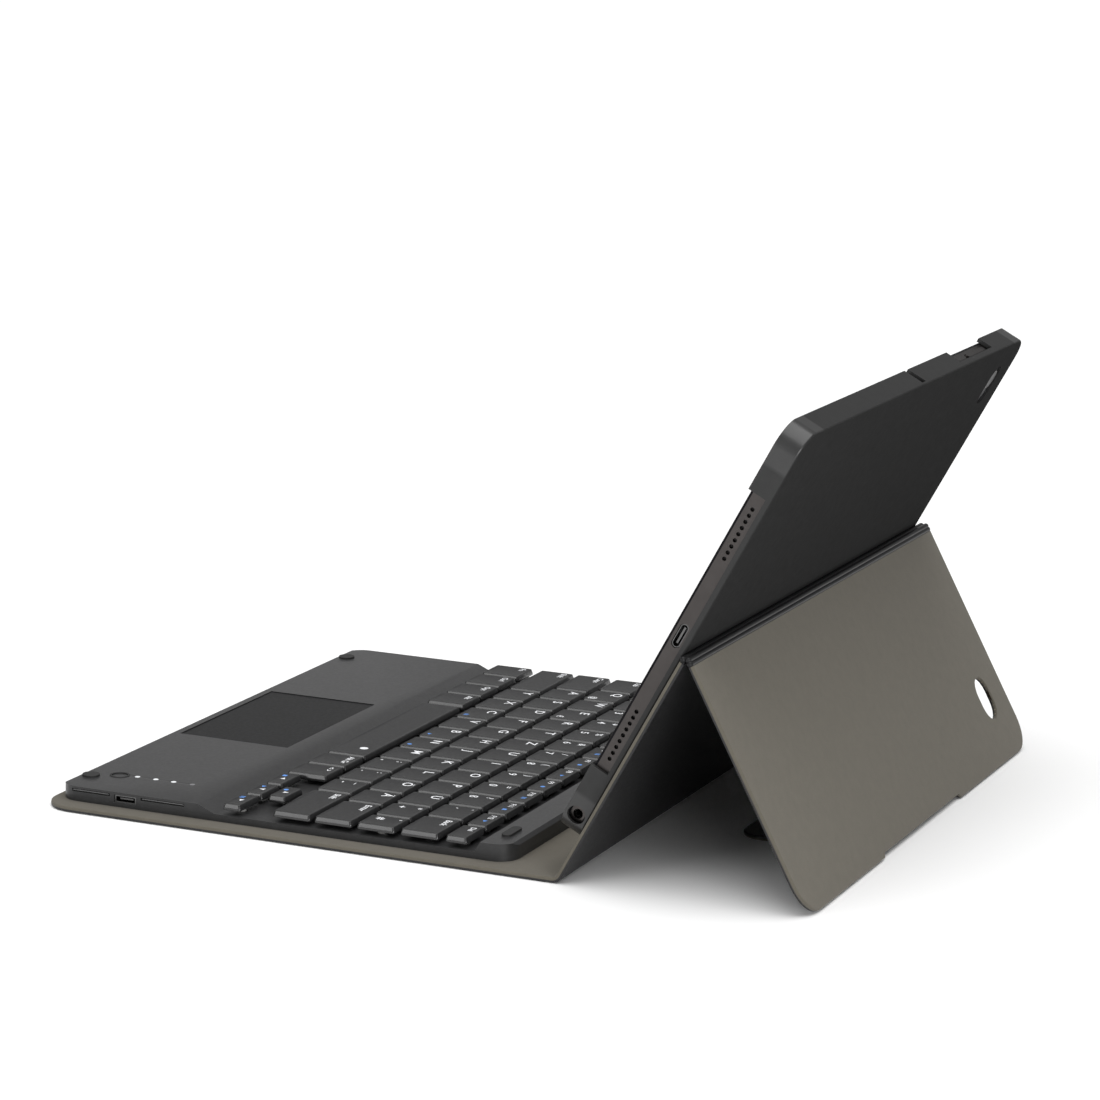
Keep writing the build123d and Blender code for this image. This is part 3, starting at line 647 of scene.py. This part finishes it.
def rod(bm, middle, axis, side, low, high, radius, around):
    """Adds a rod with round ends, from low to high along an axis that is level; side is square to it."""
    levels = []
    for end, sign in ((low, -1), (high, 1)):
        cap = []
        for i in range(5):
            turn = math.radians(90 * i / 4)
            cap.append((end - sign * radius * (1 - math.sin(turn)), radius * max(math.cos(turn), 0.05)))
        levels += cap[::-1] if sign < 0 else cap
    turns = [math.tau * k / around for k in range(around)]
    rings(bm, [
        [middle + axis * reach + side * (size * math.cos(a)) + Z * (size * math.sin(a)) for a in turns]
        for reach, size in levels
    ])


# the black beads sewn along the fold: one on the back panel, one on the strut, one between them
def bead(name, middle, radius, half, body=None, blended=None):
    """A leather-wrapped cord along X, with rounded ends."""
    bm = bmesh.new()
    rod(bm, middle, X, Y, -half, half, radius, 16)
    made_piece = piece(name, bm, BEAD_SKIN, body)
    if blended:
        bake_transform(made_piece)
    return made_piece


BEAD = 1.1 * MM  # a bead's radius
bead_back = LEAN @ Vector((0, FOLD_UP - 0.3 * MM, 1.3 * MM))
bead_strut = STRUT @ Vector((0, 0.6 * MM, MID + 0.1 * MM))
bead_middle = (bead_back + bead_strut) / 2 + (UP_LEAN + REAR).normalized() * 0.9 * MM
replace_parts(bead("bead_on_back", bead_back, BEAD, HALF_WIDTH + 0.4 * MM, "back_shell"), "fold_roll")
bead("bead_on_strut", bead_strut, BEAD * 1.05, HALF_WIDTH + 0.6 * MM, "strut")
bead(
    "bead_between", bead_middle, BEAD, HALF_WIDTH + 0.4 * MM, None,
    (("back_shell", "strut"), bead_back, bead_strut),
)

# the soft hinge under the beads, from the back panel's top to the strut's
hinge_points = [LEAN @ Vector((0, BACK_TOP, MID * 0.9)), bead_back, bead_middle, bead_strut]
hinge_points.append(STRUT @ Vector((0, HINGE_GAP, MID * 0.9)))
hinge_layer = section(HALF_WIDTH - 0.3 * MM, -0.8 * MM, 0.8 * MM, 0.3 * MM, 0.3 * MM)
bm = bmesh.new()
levels = []
for i, point in enumerate(hinge_points):
    ahead = hinge_points[min(i + 1, len(hinge_points) - 1)] - hinge_points[max(i - 1, 0)]
    normal = X.cross(ahead).normalized()
    levels.append([point + X * x + normal * z for x, z in hinge_layer])
rings(bm, levels)
hinge = piece("fold_hinge", bm, BEAD_SKIN)
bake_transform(hinge)

# the closure flap, tucked in on the floor under the tent
FLAP_CORNER, FLAP_EDGE = 8 * MM, 0.5 * MM
FLAP_SPLIT = 0.4  # share of the flap's thickness that is lining
FLAP_STEPS = 8  # steps along the strap that joins the flap to the strut
flap_low, flap_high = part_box("flap_skin")
FLAP_THICK = flap_high.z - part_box("flap_lining")[0].z
flap_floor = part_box("flap_lining")[0].z
flap_middle = (flap_low.x + flap_high.x) / 2
flap_half = (flap_high.x - flap_low.x) / 2
FLAP = plane(Vector((flap_middle, flap_axis.y, flap_floor)), -X, -Y, Z)
flap_length = flap_axis.y - flap_low.y
flap_start = flap_axis.y - flap_high.y


def flap_layer(name, bottom, top, round_bottom, round_top, made, stands_for):
    """The flap's skin or lining, between two heights."""
    outline_at = leaf_outline(flap_start, flap_length, flap_half, 0, FLAP_CORNER)
    shape = slab(FLAP, outline_at, bottom, top, round_bottom, round_top)
    piece(name, shape, made, "closure_flap", (stands_for,))


flap_layer("flap_inner", 0, FLAP_THICK * FLAP_SPLIT, FLAP_EDGE, CRISP, LINING, "flap_lining")
flap_layer("flap_outer", FLAP_THICK * FLAP_SPLIT, FLAP_THICK, CRISP, FLAP_EDGE, SKIN, "flap_skin")

# the strap from the flap up the strut, along a curve with one knee
strap_layer = section(flap_half, -0.5 * MM, 0.5 * MM, 0.3 * MM, 0.3 * MM)
flap_end = STRUT @ Vector((0, strut_length - 5 * MM, 0))
start = Vector((flap_middle, flap_high.y - 0.2 * MM, flap_floor + FLAP_THICK / 2))
knee = Vector((flap_middle, flap_axis.y + 0.6 * MM, flap_floor + FLAP_THICK / 2))
stop = Vector((flap_middle, flap_end.y, flap_end.z))
bm = bmesh.new()
levels = []
for i in range(FLAP_STEPS + 1):
    share = i / FLAP_STEPS
    point = start * (1 - share) ** 2 + knee * 2 * share * (1 - share) + stop * share ** 2
    slope = (knee - start) * (1 - share) + (stop - knee) * share
    normal = X.cross(slope.normalized())
    levels.append([point + X * x + normal * z for x, z in strap_layer])
rings(bm, levels)
flap_bend = piece("flap_bend", bm, SKIN)
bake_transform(flap_bend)


# ================================ shell ================================
SHELL_RADIUS = 9 * MM  # of the four corners, seen from the back
SHELL_EASE = 0.5 * MM


def refine_corners(bm, cuts):
    """Divides the facets round the shell's four corners, and moves the new points out onto the arcs."""
    (left, right), (low, high) = (extent("shell_tray", direction) for direction in (X, UP_LEAN))
    for x, out_x in ((left, -1), (right, 1)):
        for height, out_up in ((low, -1), (high, 1)):
            axis_x, axis_up = x - out_x * SHELL_RADIUS, height - out_up * SHELL_RADIUS

            def reach(vert):
                return Vector((vert.co.x - axis_x, vert.co.dot(UP_LEAN) - axis_up))

            on_arc = {
                vert for vert in bm.verts
                if abs(reach(vert).length - SHELL_RADIUS) < 0.05 * MM
                and reach(vert).x * out_x > -0.01 * MM and reach(vert).y * out_up > -0.01 * MM
            }
            around = [
                edge for edge in bm.edges
                if edge.verts[0] in on_arc and edge.verts[1] in on_arc
                and (reach(edge.verts[0]) - reach(edge.verts[1])).length > 0.3 * MM
            ]
            made = bmesh.ops.subdivide_edges(bm, edges=around, cuts=cuts, use_grid_fill=True)
            for new in made["geom_inner"]:
                if isinstance(new, bmesh.types.BMVert):
                    away = reach(new)
                    shift = away * (SHELL_RADIUS / away.length - 1)
                    new.co += X * shift.x + UP_LEAN * shift.y


bm = bmesh.new()
bm.from_mesh(CAD["shell_tray"].data)
bmesh.ops.remove_doubles(bm, verts=bm.verts, dist=WELD)
bmesh.ops.dissolve_limit(bm, angle_limit=math.radians(0.5), verts=bm.verts, edges=bm.edges)
refine_corners(bm, 3)
hard = [
    edge for edge in bm.edges
    if len(edge.link_faces) == 2 and edge.calc_face_angle(0) > SHARP
]
bmesh.ops.bevel(
    bm, geom=hard, offset=SHELL_EASE, offset_type="OFFSET", segments=3, profile=0.5, affect="EDGES",
    clamp_overlap=True,
)
piece("shell", bm, SHELL, "back_shell", ("shell_tray",), smooth=32)


# ================================ keycaps ================================
KEY_CROWN = 0.16 * MM  # how far the middle of a cap's top is dished


def islands(name):
    """The box of each separate solid in a CAD node, from left to right and then front to back."""
    bm = bmesh.new()
    bm.from_mesh(CAD[name].data)
    bmesh.ops.remove_doubles(bm, verts=bm.verts, dist=WELD)
    found, seen = [], set()
    for first in bm.verts:
        if first in seen:
            continue
        stack, group = [first], []
        seen.add(first)
        while stack:
            vert = stack.pop()
            group.append(vert.co.copy())
            for edge in vert.link_edges:
                other = edge.other_vert(vert)
                if other not in seen:
                    seen.add(other)
                    stack.append(other)
        low = Vector([min(p[i] for p in group) for i in range(3)])
        high = Vector([max(p[i] for p in group) for i in range(3)])
        found.append((low, high))
    bm.free()
    return sorted(found, key=lambda box: (round(box[0].x, 4), box[0].y))


def cap_levels(low, high):
    """(inset, height) round a keycap: from under its roof, down the inside and up the outside."""
    levels = [
        (1.5 * MM, high.z - 1.0 * MM), (0.95 * MM, low.z), (0.15 * MM, low.z),
        (0.05 * MM, low.z + 0.12 * MM), (0.02 * MM, low.z + 0.55 * MM), (0.08 * MM, low.z + 0.9 * MM),
    ]
    ease, shoulder = 0.32 * MM, 0.42 * MM
    for i in range(5):
        turn = math.radians(90 * i / 4)
        levels.append((shoulder + ease * (1 - math.cos(turn)), high.z - ease * (1 - math.sin(turn))))
    return levels


def cap_top(low, high, x):
    """The dished top's height, which varies across the cap only."""
    across = min(1, abs(2 * x - low.x - high.x) / (high.x - low.x - 1.6 * MM))
    return high.z - KEY_CROWN * (1 - across ** 2)


CAP_CORNER, CAP_RUN = 4, 7  # steps round a cap's corner, and points added along its front and rear


def cap_outline(low, high, inset, corner):
    """A keycap's outline, with points along its long sides for the dish to bend at."""
    points = rounded(
        low.x + inset, high.x - inset, low.y + inset, high.y - inset, (corner,) * 4, CAP_CORNER
    )
    side = CAP_CORNER + 1

    def between(start, end):
        return [
            (start[0] + (end[0] - start[0]) * k / (CAP_RUN + 1), start[1])
            for k in range(1, CAP_RUN + 1)
        ]

    front = between(points[side - 1], points[side])
    rear = between(points[3 * side - 1], points[3 * side])
    return points[:side] + front + points[side:3 * side] + rear + points[3 * side:]


def add_cap(bm, low, high):
    """One keycap: tapered polished sides, an eased rim and a dished top, hollow below."""
    levels = []
    for inset, height in cap_levels(low, high):
        corner = max(0.9 * MM - inset * 0.3, 0.4 * MM)
        levels.append([Vector((x, y, height)) for x, y in cap_outline(low, high, inset, corner)])
    loops = rings(bm, levels, close_last=False)
    previous = loops[-1]
    for inset in (1.28 * MM, 2.18 * MM, 3.38 * MM):
        if high.y - low.y < 2 * inset + 1 * MM:  # no room left in the middle
            break
        points = cap_outline(low, high, inset, 0.35 * MM)
        loop = [bm.verts.new((x, y, cap_top(low, high, x))) for x, y in points]
        bridge(bm, previous, loop)
        previous = loop
    # the middle, in strips from front to rear, so that the dish is smooth
    first = CAP_CORNER
    last = first + CAP_RUN + 1
    rear = last + 2 * CAP_CORNER + 1
    count = len(previous)
    for k in range(CAP_RUN + 1):
        near, far = first + k, rear + CAP_RUN + 1 - k
        bm.faces.new((previous[near], previous[near + 1], previous[far - 1], previous[far]))
    bm.faces.new(previous[last:rear + 1])
    bm.faces.new([previous[k % count] for k in range(rear + CAP_RUN + 1, count + first + 1)])


# ---- legends: each cap's marks, from left to right ----
def text_mesh(body, size):
    """A flat word as a mesh, a little thick, with its lower left corner at the origin."""
    curve = bpy.data.curves.new("word", "FONT")
    curve.body = body
    curve.size = size
    curve.resolution_u = 3
    curve.extrude = 0.012 * MM
    curve.offset = size * 0.009  # a little bolder than the plain font
    holder = bpy.data.objects.new("word", curve)
    bpy.context.scene.collection.objects.link(holder)
    bpy.context.view_layer.update()
    made = bpy.data.meshes.new_from_object(holder.evaluated_get(bpy.context.evaluated_depsgraph_get()))
    bpy.data.objects.remove(holder)
    bpy.data.curves.remove(curve)
    return made


WORDS = {}


def add_word(bm, word, size, x, y, top):
    """Prints a word with its lower left corner at (x, y), following the cap's top."""
    key = (word, round(size, 6))
    if key not in WORDS:
        WORDS[key] = text_mesh(word, size)
    start = len(bm.verts)
    bm.from_mesh(WORDS[key])
    bm.verts.ensure_lookup_table()
    for vert in bm.verts[start:]:
        spot_x, spot_y = vert.co.x + x, vert.co.y + y
        vert.co = Vector((spot_x, spot_y, top(spot_x) + 0.008 * MM + vert.co.z))


LETTER, SMALL, WORD, FUNCTION = 5.4 * MM, 3.9 * MM, 3.4 * MM, 2.9 * MM  # the sizes of the lettering
LEGENDS = {
    "number_keys": [
        "^ °", "1 !", "2 \"", "3 §", "4 $", "5 %", "6 &", "7 /", "8 (", "9 )", "0 =", "ß ?", "´ `",
    ],
    "upper_letter_keys": ["Q @", "W", "E €", "R", "T", "Z", "U", "I", "O", "P", "Ü", "+ *", "# '"],
    "home_letter_keys": ["A", "S", "D", "F", "G", "H", "J", "K", "L", "Ö", "Ä"],
    "lower_letter_keys": ["Y", "X", "C", "V", "B", "N", "M", ", ;", ". :", "- _"],
    "bottom_row_keys": ["Fn", "Ctrl", "Opt", "Alt", "Alt Gr", "< >"],
    "arrow_keys": ["<", "v", "^", ">"],
    "function_keys": ["Esc"] + [f"F{i}" for i in range(1, 13)] + ["Del"],
    "backspace_key": ["Back"], "tab_key": ["Tab"], "caps_key": ["Caps"], "enter_key": ["Enter"],
    "left_shift_key": ["Shift"], "right_shift_key": ["Shift"], "space_key": [""],
}
BLUE_MARKED = {"lower_letter_keys": (2, 4, 5)}  # the letter keys with a blue second mark


def print_key(white, blue, group, i, mark, low, high):
    """Prints one cap's legends: the main one towards its rear left, the second one in front of it."""
    def top(x):
        return cap_top(low, high, x)

    left, rear = low.x + 1.9 * MM, high.y - 1.5 * MM
    if group == "function_keys":
        add_word(white, mark, FUNCTION, left, rear - 2.6 * MM, top)
        if mark.startswith("F"):
            add_blue(blue, i, low.x + 8.6 * MM, rear - 2.2 * MM, top)
    elif group == "arrow_keys":
        arrow(white, (180, 270, 90, 0)[i], (low.x + high.x) / 2, (low.y + high.y) / 2, top)
        add_blue(blue, i + 3, low.x + 3.0 * MM, low.y + 2.2 * MM, top)
    elif group.endswith("_key") or group == "bottom_row_keys":
        add_word(white, mark, WORD, left, rear - 3.2 * MM, top)
    elif mark:
        main, *second = mark.split(" ")
        if group == "number_keys" or not main.isalpha():
            add_word(white, second[0] if second else "", SMALL, left + 0.4 * MM, rear - 3.0 * MM, top)
            add_word(white, main, LETTER * 0.85, left + 0.2 * MM, rear - 9.4 * MM, top)
        else:
            add_word(white, main, LETTER, left, rear - 4.2 * MM, top)
            if second:
                add_word(white, second[0], SMALL, high.x - 5.2 * MM, low.y + 2.4 * MM, top)
        if i in BLUE_MARKED.get(group, ()):
            add_blue(blue, i, high.x - 5.0 * MM, low.y + 3.0 * MM, top)


def flat_shape(bm, points, top):
    """A thin printed patch with the given outline."""
    lower = [bm.verts.new((x, y, top(x) + 0.002 * MM)) for x, y in points]
    upper = [bm.verts.new((x, y, top(x) + 0.02 * MM)) for x, y in points]
    bm.faces.new(lower[::-1])
    bm.faces.new(upper)
    bridge(bm, lower, upper)


def arrow(bm, angle, x, y, top):
    """A small arrowhead pointing along the given angle."""
    points = []
    for turn, reach in ((0, 1.3), (130, 1.2), (230, 1.2)):
        a = math.radians(angle + turn)
        points.append((x + reach * MM * math.cos(a), y + reach * MM * math.sin(a)))
    flat_shape(bm, points, top)


def add_blue(bm, kind, x, y, top):
    """A generic second-function mark: a triangle, bars, a dot or a square, in turn."""
    if kind % 4 == 0:
        points = [(0, -0.9), (1.7, 0), (0, 0.9)]
    elif kind % 4 == 1:
        points = circle(0.9, 0, 0.9, 14)(0)
    elif kind % 4 == 2:
        points = [(0, -0.9), (0.6, -0.9), (0.6, 0.9), (0, 0.9)]
        flat_shape(bm, [(x + (px + 1.2) * MM, y + py * MM) for px, py in points], top)
    else:
        points = [(0, -0.8), (1.6, -0.8), (1.6, 0.8), (0, 0.8)]
    flat_shape(bm, [(x + px * MM, y + py * MM) for px, py in points], top)


for group, marks in LEGENDS.items():
    body = group + "_group"
    caps, white, blue = bmesh.new(), bmesh.new(), bmesh.new()
    boxes = islands(group)
    for i, ((low, high), mark) in enumerate(zip(boxes, marks)):
        add_cap(caps, low, high)
        print_key(white, blue, group, i, mark, low, high)
    piece(f"{group}_caps", caps, KEYCAP, body, (group,), smooth=35)
    if group == "space_key":
        low, high = boxes[0]
        dot_x, dot_y = high.x - 10 * MM, (low.y + high.y) / 2 + 2.5 * MM
        flat_shape(white, circle(dot_x, dot_y, 1.6 * MM, 20)(0), lambda x: cap_top(low, high, x))
    for bm, ink, made in ((white, "legends", LEGEND), (blue, "second_legends", BLUE_INK)):
        if len(bm.verts):
            piece(f"{group}_{ink}", bm, made, body, smooth=60)
        else:
            bm.free()


# ================================ lenses and rings ================================
# the tablet's camera island, seen through the shell's pill-shaped cut-out
lens_low, lens_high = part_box("tablet_camera")
lens_up = sum(extent("tablet_camera", UP_LEAN)) / 2 - crease.dot(UP_LEAN)
tablet_back = extent("tablet_housing", SCREEN)[0] - crease.dot(SCREEN)
lens_x = (lens_low.x + lens_high.x) / 2
lens_radius = (lens_high.x - lens_low.x) / 2
island_up = lens_up - 2.4 * MM
island = slab(
    LEANING, inward(pill(lens_x, island_up, 4.5 * MM, 8 * MM)), tablet_back - 0.45 * MM, tablet_back,
    0.3 * MM, CRISP,
)
piece("camera_island", island, CAMERA_BLACK, "tablet")
lens_ring = slab(
    LEANING, inward(circle(lens_x, lens_up, lens_radius + 0.55 * MM)), tablet_back - 0.8 * MM,
    tablet_back - 0.4 * MM, 0.2 * MM, CRISP, circle(lens_x, lens_up, lens_radius + 0.05 * MM),
)
piece("camera_ring", lens_ring, METAL, "tablet")

# the black rim round the front of the tablet
RIM_WIDTH, RIM_DEPTH, TABLET_RADIUS = 1.0 * MM, 0.8 * MM, 7.5 * MM
tablet_front = extent("tablet_housing", SCREEN)[1] - crease.dot(SCREEN)
glass_front = extent("tablet_glass", SCREEN)[1] - crease.dot(SCREEN)
rim_front = max(tablet_front, glass_front)
side_low, side_high = extent("tablet_housing", X)
up_low, up_high = (reach - crease.dot(UP_LEAN) for reach in extent("tablet_housing", UP_LEAN))


def rim_outline(grow):
    """The tablet's outline, grown by a distance."""
    return rounded(
        side_low - grow, side_high + grow, up_low - grow, up_high + grow, (TABLET_RADIUS + grow,) * 4, 10
    )


rim = slab(
    LEANING, lambda inset: rim_outline(0.06 * MM - inset), rim_front - RIM_DEPTH, rim_front + 0.03 * MM,
    CRISP, 0.25 * MM, lambda inset: rim_outline(inset - RIM_WIDTH),
)
piece("tablet_rim", rim, CAMERA_BLACK, "tablet")

# the status lights' lenses: three lit and one dark, from the front to the rear
LENS_RADIUS = 1.0 * MM
pipes = sorted(islands("status_lights"), key=lambda box: box[0].y)
lit, dark = bmesh.new(), bmesh.new()
for i, (low, high) in enumerate(pipes):
    middle = (low + high) / 2
    lens = slab(
        UPRIGHT, inward(circle(middle.x, middle.y, LENS_RADIUS)), high.z - 0.3 * MM, high.z + 0.12 * MM,
        CRISP, 0.1 * MM,
    )
    mesh = bpy.data.meshes.new("lens")
    lens.to_mesh(mesh)
    lens.free()
    (dark if i == len(pipes) - 1 else lit).from_mesh(mesh)
piece("lit_lenses", lit, LIGHT, "keyboard")
piece("dark_lens", dark, DIM_LIGHT, "keyboard")

# the raised rubber ring round the keyboard's switch
switch_low, switch_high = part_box("keyboard_power_button")
switch = (switch_low + switch_high) / 2
switch_radius = (switch_high.x - switch_low.x) / 2
palm_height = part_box("status_lights")[1].z
collar = slab(
    UPRIGHT, inward(circle(switch.x, switch.y, switch_radius + 1.0 * MM)), palm_height - 0.1 * MM,
    palm_height + 0.25 * MM, CRISP, 0.15 * MM, circle(switch.x, switch.y, switch_radius + 0.15 * MM),
)
piece("switch_collar", collar, RUBBER, "keyboard")

# the polished lips in the two finger grooves beside the keyboard's port
port_low, port_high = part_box("keyboard_usb_socket")
port_y = (port_low.y + port_high.y) / 2
groove_x, groove_z, lip_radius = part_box("keyboard_top")[1].x - 0.5 * MM, 6.1 * MM, 0.44 * MM
bm = bmesh.new()
LIPS = ((-21.5 * MM, -6.4 * MM), (6.5 * MM, 23.6 * MM))  # where each starts and ends, from the port
for start, end in LIPS:
    rod(bm, Vector((groove_x, port_y, groove_z)), Y, X, start, end, lip_radius, 12)
piece("groove_lips", bm, POLISHED, "keyboard", smooth=50)


# ================================ camera, floor, lights ================================
CAMERA_AZIMUTH, CAMERA_ELEVATION, CAMERA_ROLL = map(math.radians, (112.84, 11.75, 1.44))
CAMERA_DISTANCE = 1.41782
CAMERA_LENS, CAMERA_SENSOR = 125.76, 36  # in millimetres
AIM = Vector((0, -0.00428, 0.0855))
camera_data = bpy.data.cameras.new("camera")
camera_data.sensor_width = CAMERA_SENSOR
camera_data.lens = CAMERA_LENS
camera_data.clip_start = 0.05
camera_data.clip_end = 50
camera = bpy.data.objects.new("camera", camera_data)
bpy.context.scene.collection.objects.link(camera)
bpy.context.scene.camera = camera
back = Vector((
    math.sin(CAMERA_AZIMUTH) * math.cos(CAMERA_ELEVATION),
    -math.cos(CAMERA_AZIMUTH) * math.cos(CAMERA_ELEVATION),
    math.sin(CAMERA_ELEVATION),
))
right = (-back).cross(Z).normalized()
up = right.cross(-back)
rolled_right = right * math.cos(CAMERA_ROLL) + up * math.sin(CAMERA_ROLL)
rolled_up = up * math.cos(CAMERA_ROLL) - right * math.sin(CAMERA_ROLL)
camera.matrix_world = plane(AIM + back * CAMERA_DISTANCE, rolled_right, rolled_up, back)

FLOOR_REACH, FLOOR_CORNER, FLOOR_HEIGHT = 6.0, 1.0, -0.0001
floor_mesh = bmesh.new()
floor_corners = rounded(
    -FLOOR_REACH, FLOOR_REACH, -FLOOR_REACH, FLOOR_REACH, (FLOOR_CORNER,) * 4, 8
)
floor_mesh.faces.new([floor_mesh.verts.new((x, y, FLOOR_HEIGHT)) for x, y in floor_corners])
floor_paint = material("floor_paint", (0.9, 0.9, 0.9), 0.9)
mottle(floor_paint, noise(floor_paint, 0.4), (0.89, 0.89, 0.89), (0.91, 0.91, 0.91))
data = bpy.data.meshes.new("floor")
floor_mesh.to_mesh(data)
floor_mesh.free()
data.materials.append(floor_paint)
floor = bpy.data.objects.new("floor", data)
bpy.context.scene.collection.objects.link(floor)

# white surroundings: dim as a light, and bright where they show past the floor
AMBIENT, BACKDROP = 0.30, 1.1
world = bpy.data.worlds.new("studio")
bpy.context.scene.world = world
world.use_nodes = True
surroundings = world.node_tree
background = surroundings.nodes["Background"]
background.inputs["Color"].default_value = (1, 1, 1, 1)
seen = surroundings.nodes.new("ShaderNodeLightPath")
strength = surroundings.nodes.new("ShaderNodeMapRange")
strength.inputs["To Min"].default_value = AMBIENT
strength.inputs["To Max"].default_value = BACKDROP
surroundings.links.new(seen.outputs["Is Camera Ray"], strength.inputs["Value"])
surroundings.links.new(strength.outputs["Result"], background.inputs["Strength"])


def softbox(name, place_at, aim, size, power):
    """A rectangular light at a place, facing a point. The power is in watts."""
    lamp = bpy.data.lights.new(name, "AREA")
    lamp.shape = "RECTANGLE"
    lamp.size, lamp.size_y = size
    lamp.energy = power
    made = bpy.data.objects.new(name, lamp)
    bpy.context.scene.collection.objects.link(made)
    made.location = place_at
    made.rotation_mode = "QUATERNION"
    made.rotation_quaternion = (Vector(aim) - Vector(place_at)).to_track_quat("-Z", "Y")


# a broad light overhead, tipped a little, and three panels named by the side of the case they stand on
SUN_STRENGTH, SUN_WIDTH, SUN_TIP = 2.95, math.radians(75), (math.radians(-6), math.radians(4), 0)
sun = bpy.data.lights.new("overhead", "SUN")
sun.energy = SUN_STRENGTH
sun.angle = SUN_WIDTH
overhead = bpy.data.objects.new("overhead", sun)
bpy.context.scene.collection.objects.link(overhead)
overhead.rotation_euler = SUN_TIP
softbox("left_panel", (-1.9, -0.8, 0.34), (0, 0, 0), (1.6, 0.26), 0.9)
softbox("rear_panel", (0.75, 0.75, 0.12), (0.05, 0.05, 0.12), (0.5, 0.3), 5)
softbox("right_panel", (1.5, -0.8, 0.6), (0, 0, 0.05), (0.9, 0.6), 6)

bpy.context.scene.view_settings.view_transform = "Standard"
